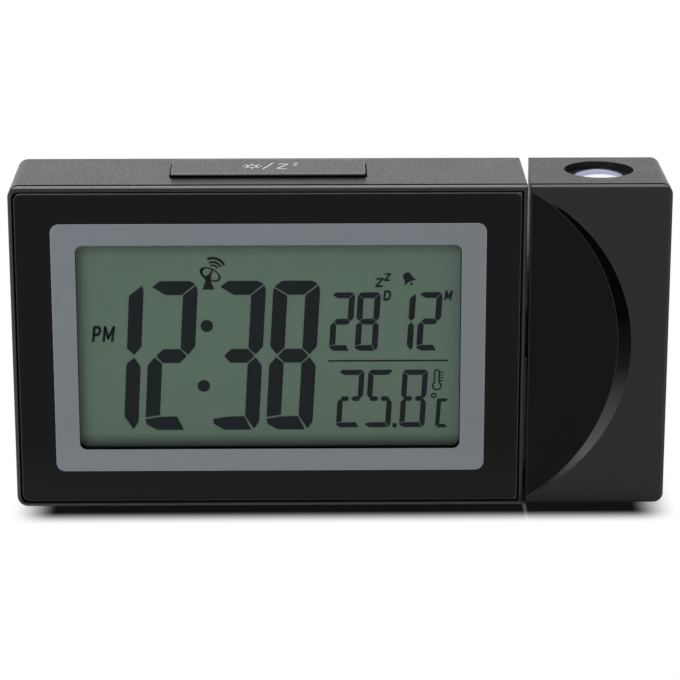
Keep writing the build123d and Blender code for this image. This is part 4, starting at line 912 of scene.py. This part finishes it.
# Painted shade standing in for the cross recesses in the screws' heads.
recess_painted_shade = metal("screw_recess", (0.06, 0.06, 0.065), 0.5)


def cross_recesses(node, body, arm):
    """A dark cross of painted shade on the head of each screw that is driven from behind, standing in
    for its cross recess.
    """
    drawing = bmesh.new()
    for low, high in solids_of(node):
        upright = high.z - low.z > high.y - low.y
        if upright:
            continue
        across, up = -(low.x + high.x) / 2 / MM, (low.z + high.z) / 2 / MM
        mark = patch(drawing, [(across + x, up + z) for x, z in cross(arm, arm * 0.13)])
        bmesh.ops.translate(drawing, vec=(0, 0, high.y / MM), verts=mark.verts[:])
    raised(node + "_recesses", drawing, to_back(0, 0, 0), thin_ink, body, recess_painted_shade)


cross_recesses("case_screws", "clock", 2.4)
cross_recesses("projector_screws", "projector", 2.4)
cross_recesses("board_screws", "clock", 2.0)


# ---------------------------------------------------------------- floor, light and camera

camera_place = (-0.008, -0.640, 0.233052)
camera_down, camera_turn = 17.086, -0.72025    # degrees below level, and about the upright axis
focal_length, sensor_width = 153.91, 36
object_middle = (0, 0, 0.04)


def shown(nodes):
    """1 where the camera, a reflection or glass shows the surface, and 0 where it only gives light."""
    ray = nodes.add("ShaderNodeLightPath", output="Is Camera Ray")
    return (ray + ray.other("Is Glossy Ray") + ray.other("Is Transmission Ray")).at_most(1)


def white_floor():
    """A white floor that shows its own light, less a painted soft shadow under the clock and just round
    it, with a painted line of light in the gap.
    """
    sheet = bmesh.new()
    bmesh.ops.create_grid(sheet, x_segments=8, y_segments=8, size=4)
    mesh = bpy.data.meshes.new("floor")
    sheet.to_mesh(mesh)
    sheet.free()
    floor = bpy.data.objects.new("floor", mesh)
    bpy.context.collection.objects.link(floor)
    f = finish("floor_white")
    x, y = f.axes(f.here(), "XY")
    # How far the painted shadow reaches round the clock and where it is full, and a painted line of
    # light in the gap.
    ahead = y.fade(-23.6 * MM, -15.2 * MM, "SMOOTHSTEP")
    behind = y.fade(21.6 * MM, 12 * MM, "SMOOTHSTEP")
    beside = x.fade(-75.8 * MM, -65 * MM, "SMOOTHSTEP") * x.fade(77.6 * MM, 66.8 * MM, "SMOOTHSTEP")
    under = abs(x).fade(72.6 * MM, 69 * MM) * abs(y).fade(13.4 * MM, 9.5 * MM)
    # A painted line of light on the floor in front of the gap between the clock and the projector.
    in_gap = abs(x - projector_side_front * MM).fade(0.55 * MM, 0.1 * MM)
    painted_gap_light = in_gap * y.fade(-9 * MM, -12 * MM) * 0.08
    # Ambient occlusion lets the painted shadow show only where something is close above the floor.
    open_above = f.add("ShaderNodeAmbientOcclusion", {"samples": 16}, {"Distance": 20 * MM},
                       output="AO")
    close = ((1 - open_above) * 6).at_most(1)
    light = (1 - (ahead * behind * beside).at_least(under) * close + painted_gap_light).at_most(1)
    white = f.mix(light, (0.006, 0.006, 0.006), (1, 1, 1))
    bright = f.add("ShaderNodeEmission", inputs={"Color": white, "Strength": 1.0})
    matt = f.add("ShaderNodeBsdfDiffuse", inputs={"Color": (0.8, 0.8, 0.8)})
    mesh.materials.append(f.close(f.blend(shown(f), matt, bright)))


def softbox(name, place, wide, high, watts):
    """A rectangular lamp that points at the middle of the object."""
    lamp = bpy.data.lights.new(name, "AREA")
    lamp.shape, lamp.size, lamp.size_y, lamp.energy = "RECTANGLE", wide, high, watts
    made = bpy.data.objects.new(name, lamp)
    made.location = place
    made.rotation_euler = (Vector(object_middle) - Vector(place)).to_track_quat("-Z", "Y").to_euler()
    bpy.context.collection.objects.link(made)


def studio():
    """White background, floor, two softboxes and the camera."""
    scene = bpy.context.scene
    scene.view_settings.view_transform = "Standard"
    scene.world = bpy.data.worlds.new("studio")
    w = Nodes(scene.world)
    w.add("ShaderNodeOutputWorld", inputs={0: w.add("ShaderNodeBackground", inputs={
        "Color": (1, 1, 1), "Strength": shown(w) * 0.55 + 0.45})})
    white_floor()
    softbox("overhead_softbox", (0, 0.1, 0.95), 0.7, 0.5, 4.9)
    softbox("front_softbox", (-0.5, -0.8, 0.7), 0.5, 0.5, 5.0)
    lens = bpy.data.cameras.new("camera")
    lens.lens, lens.sensor_width = focal_length, sensor_width
    camera = bpy.data.objects.new("camera", lens)
    camera.location = camera_place
    camera.rotation_euler = (math.radians(90 - camera_down), 0, math.radians(camera_turn))
    bpy.context.collection.objects.link(camera)
    scene.camera = camera


studio()
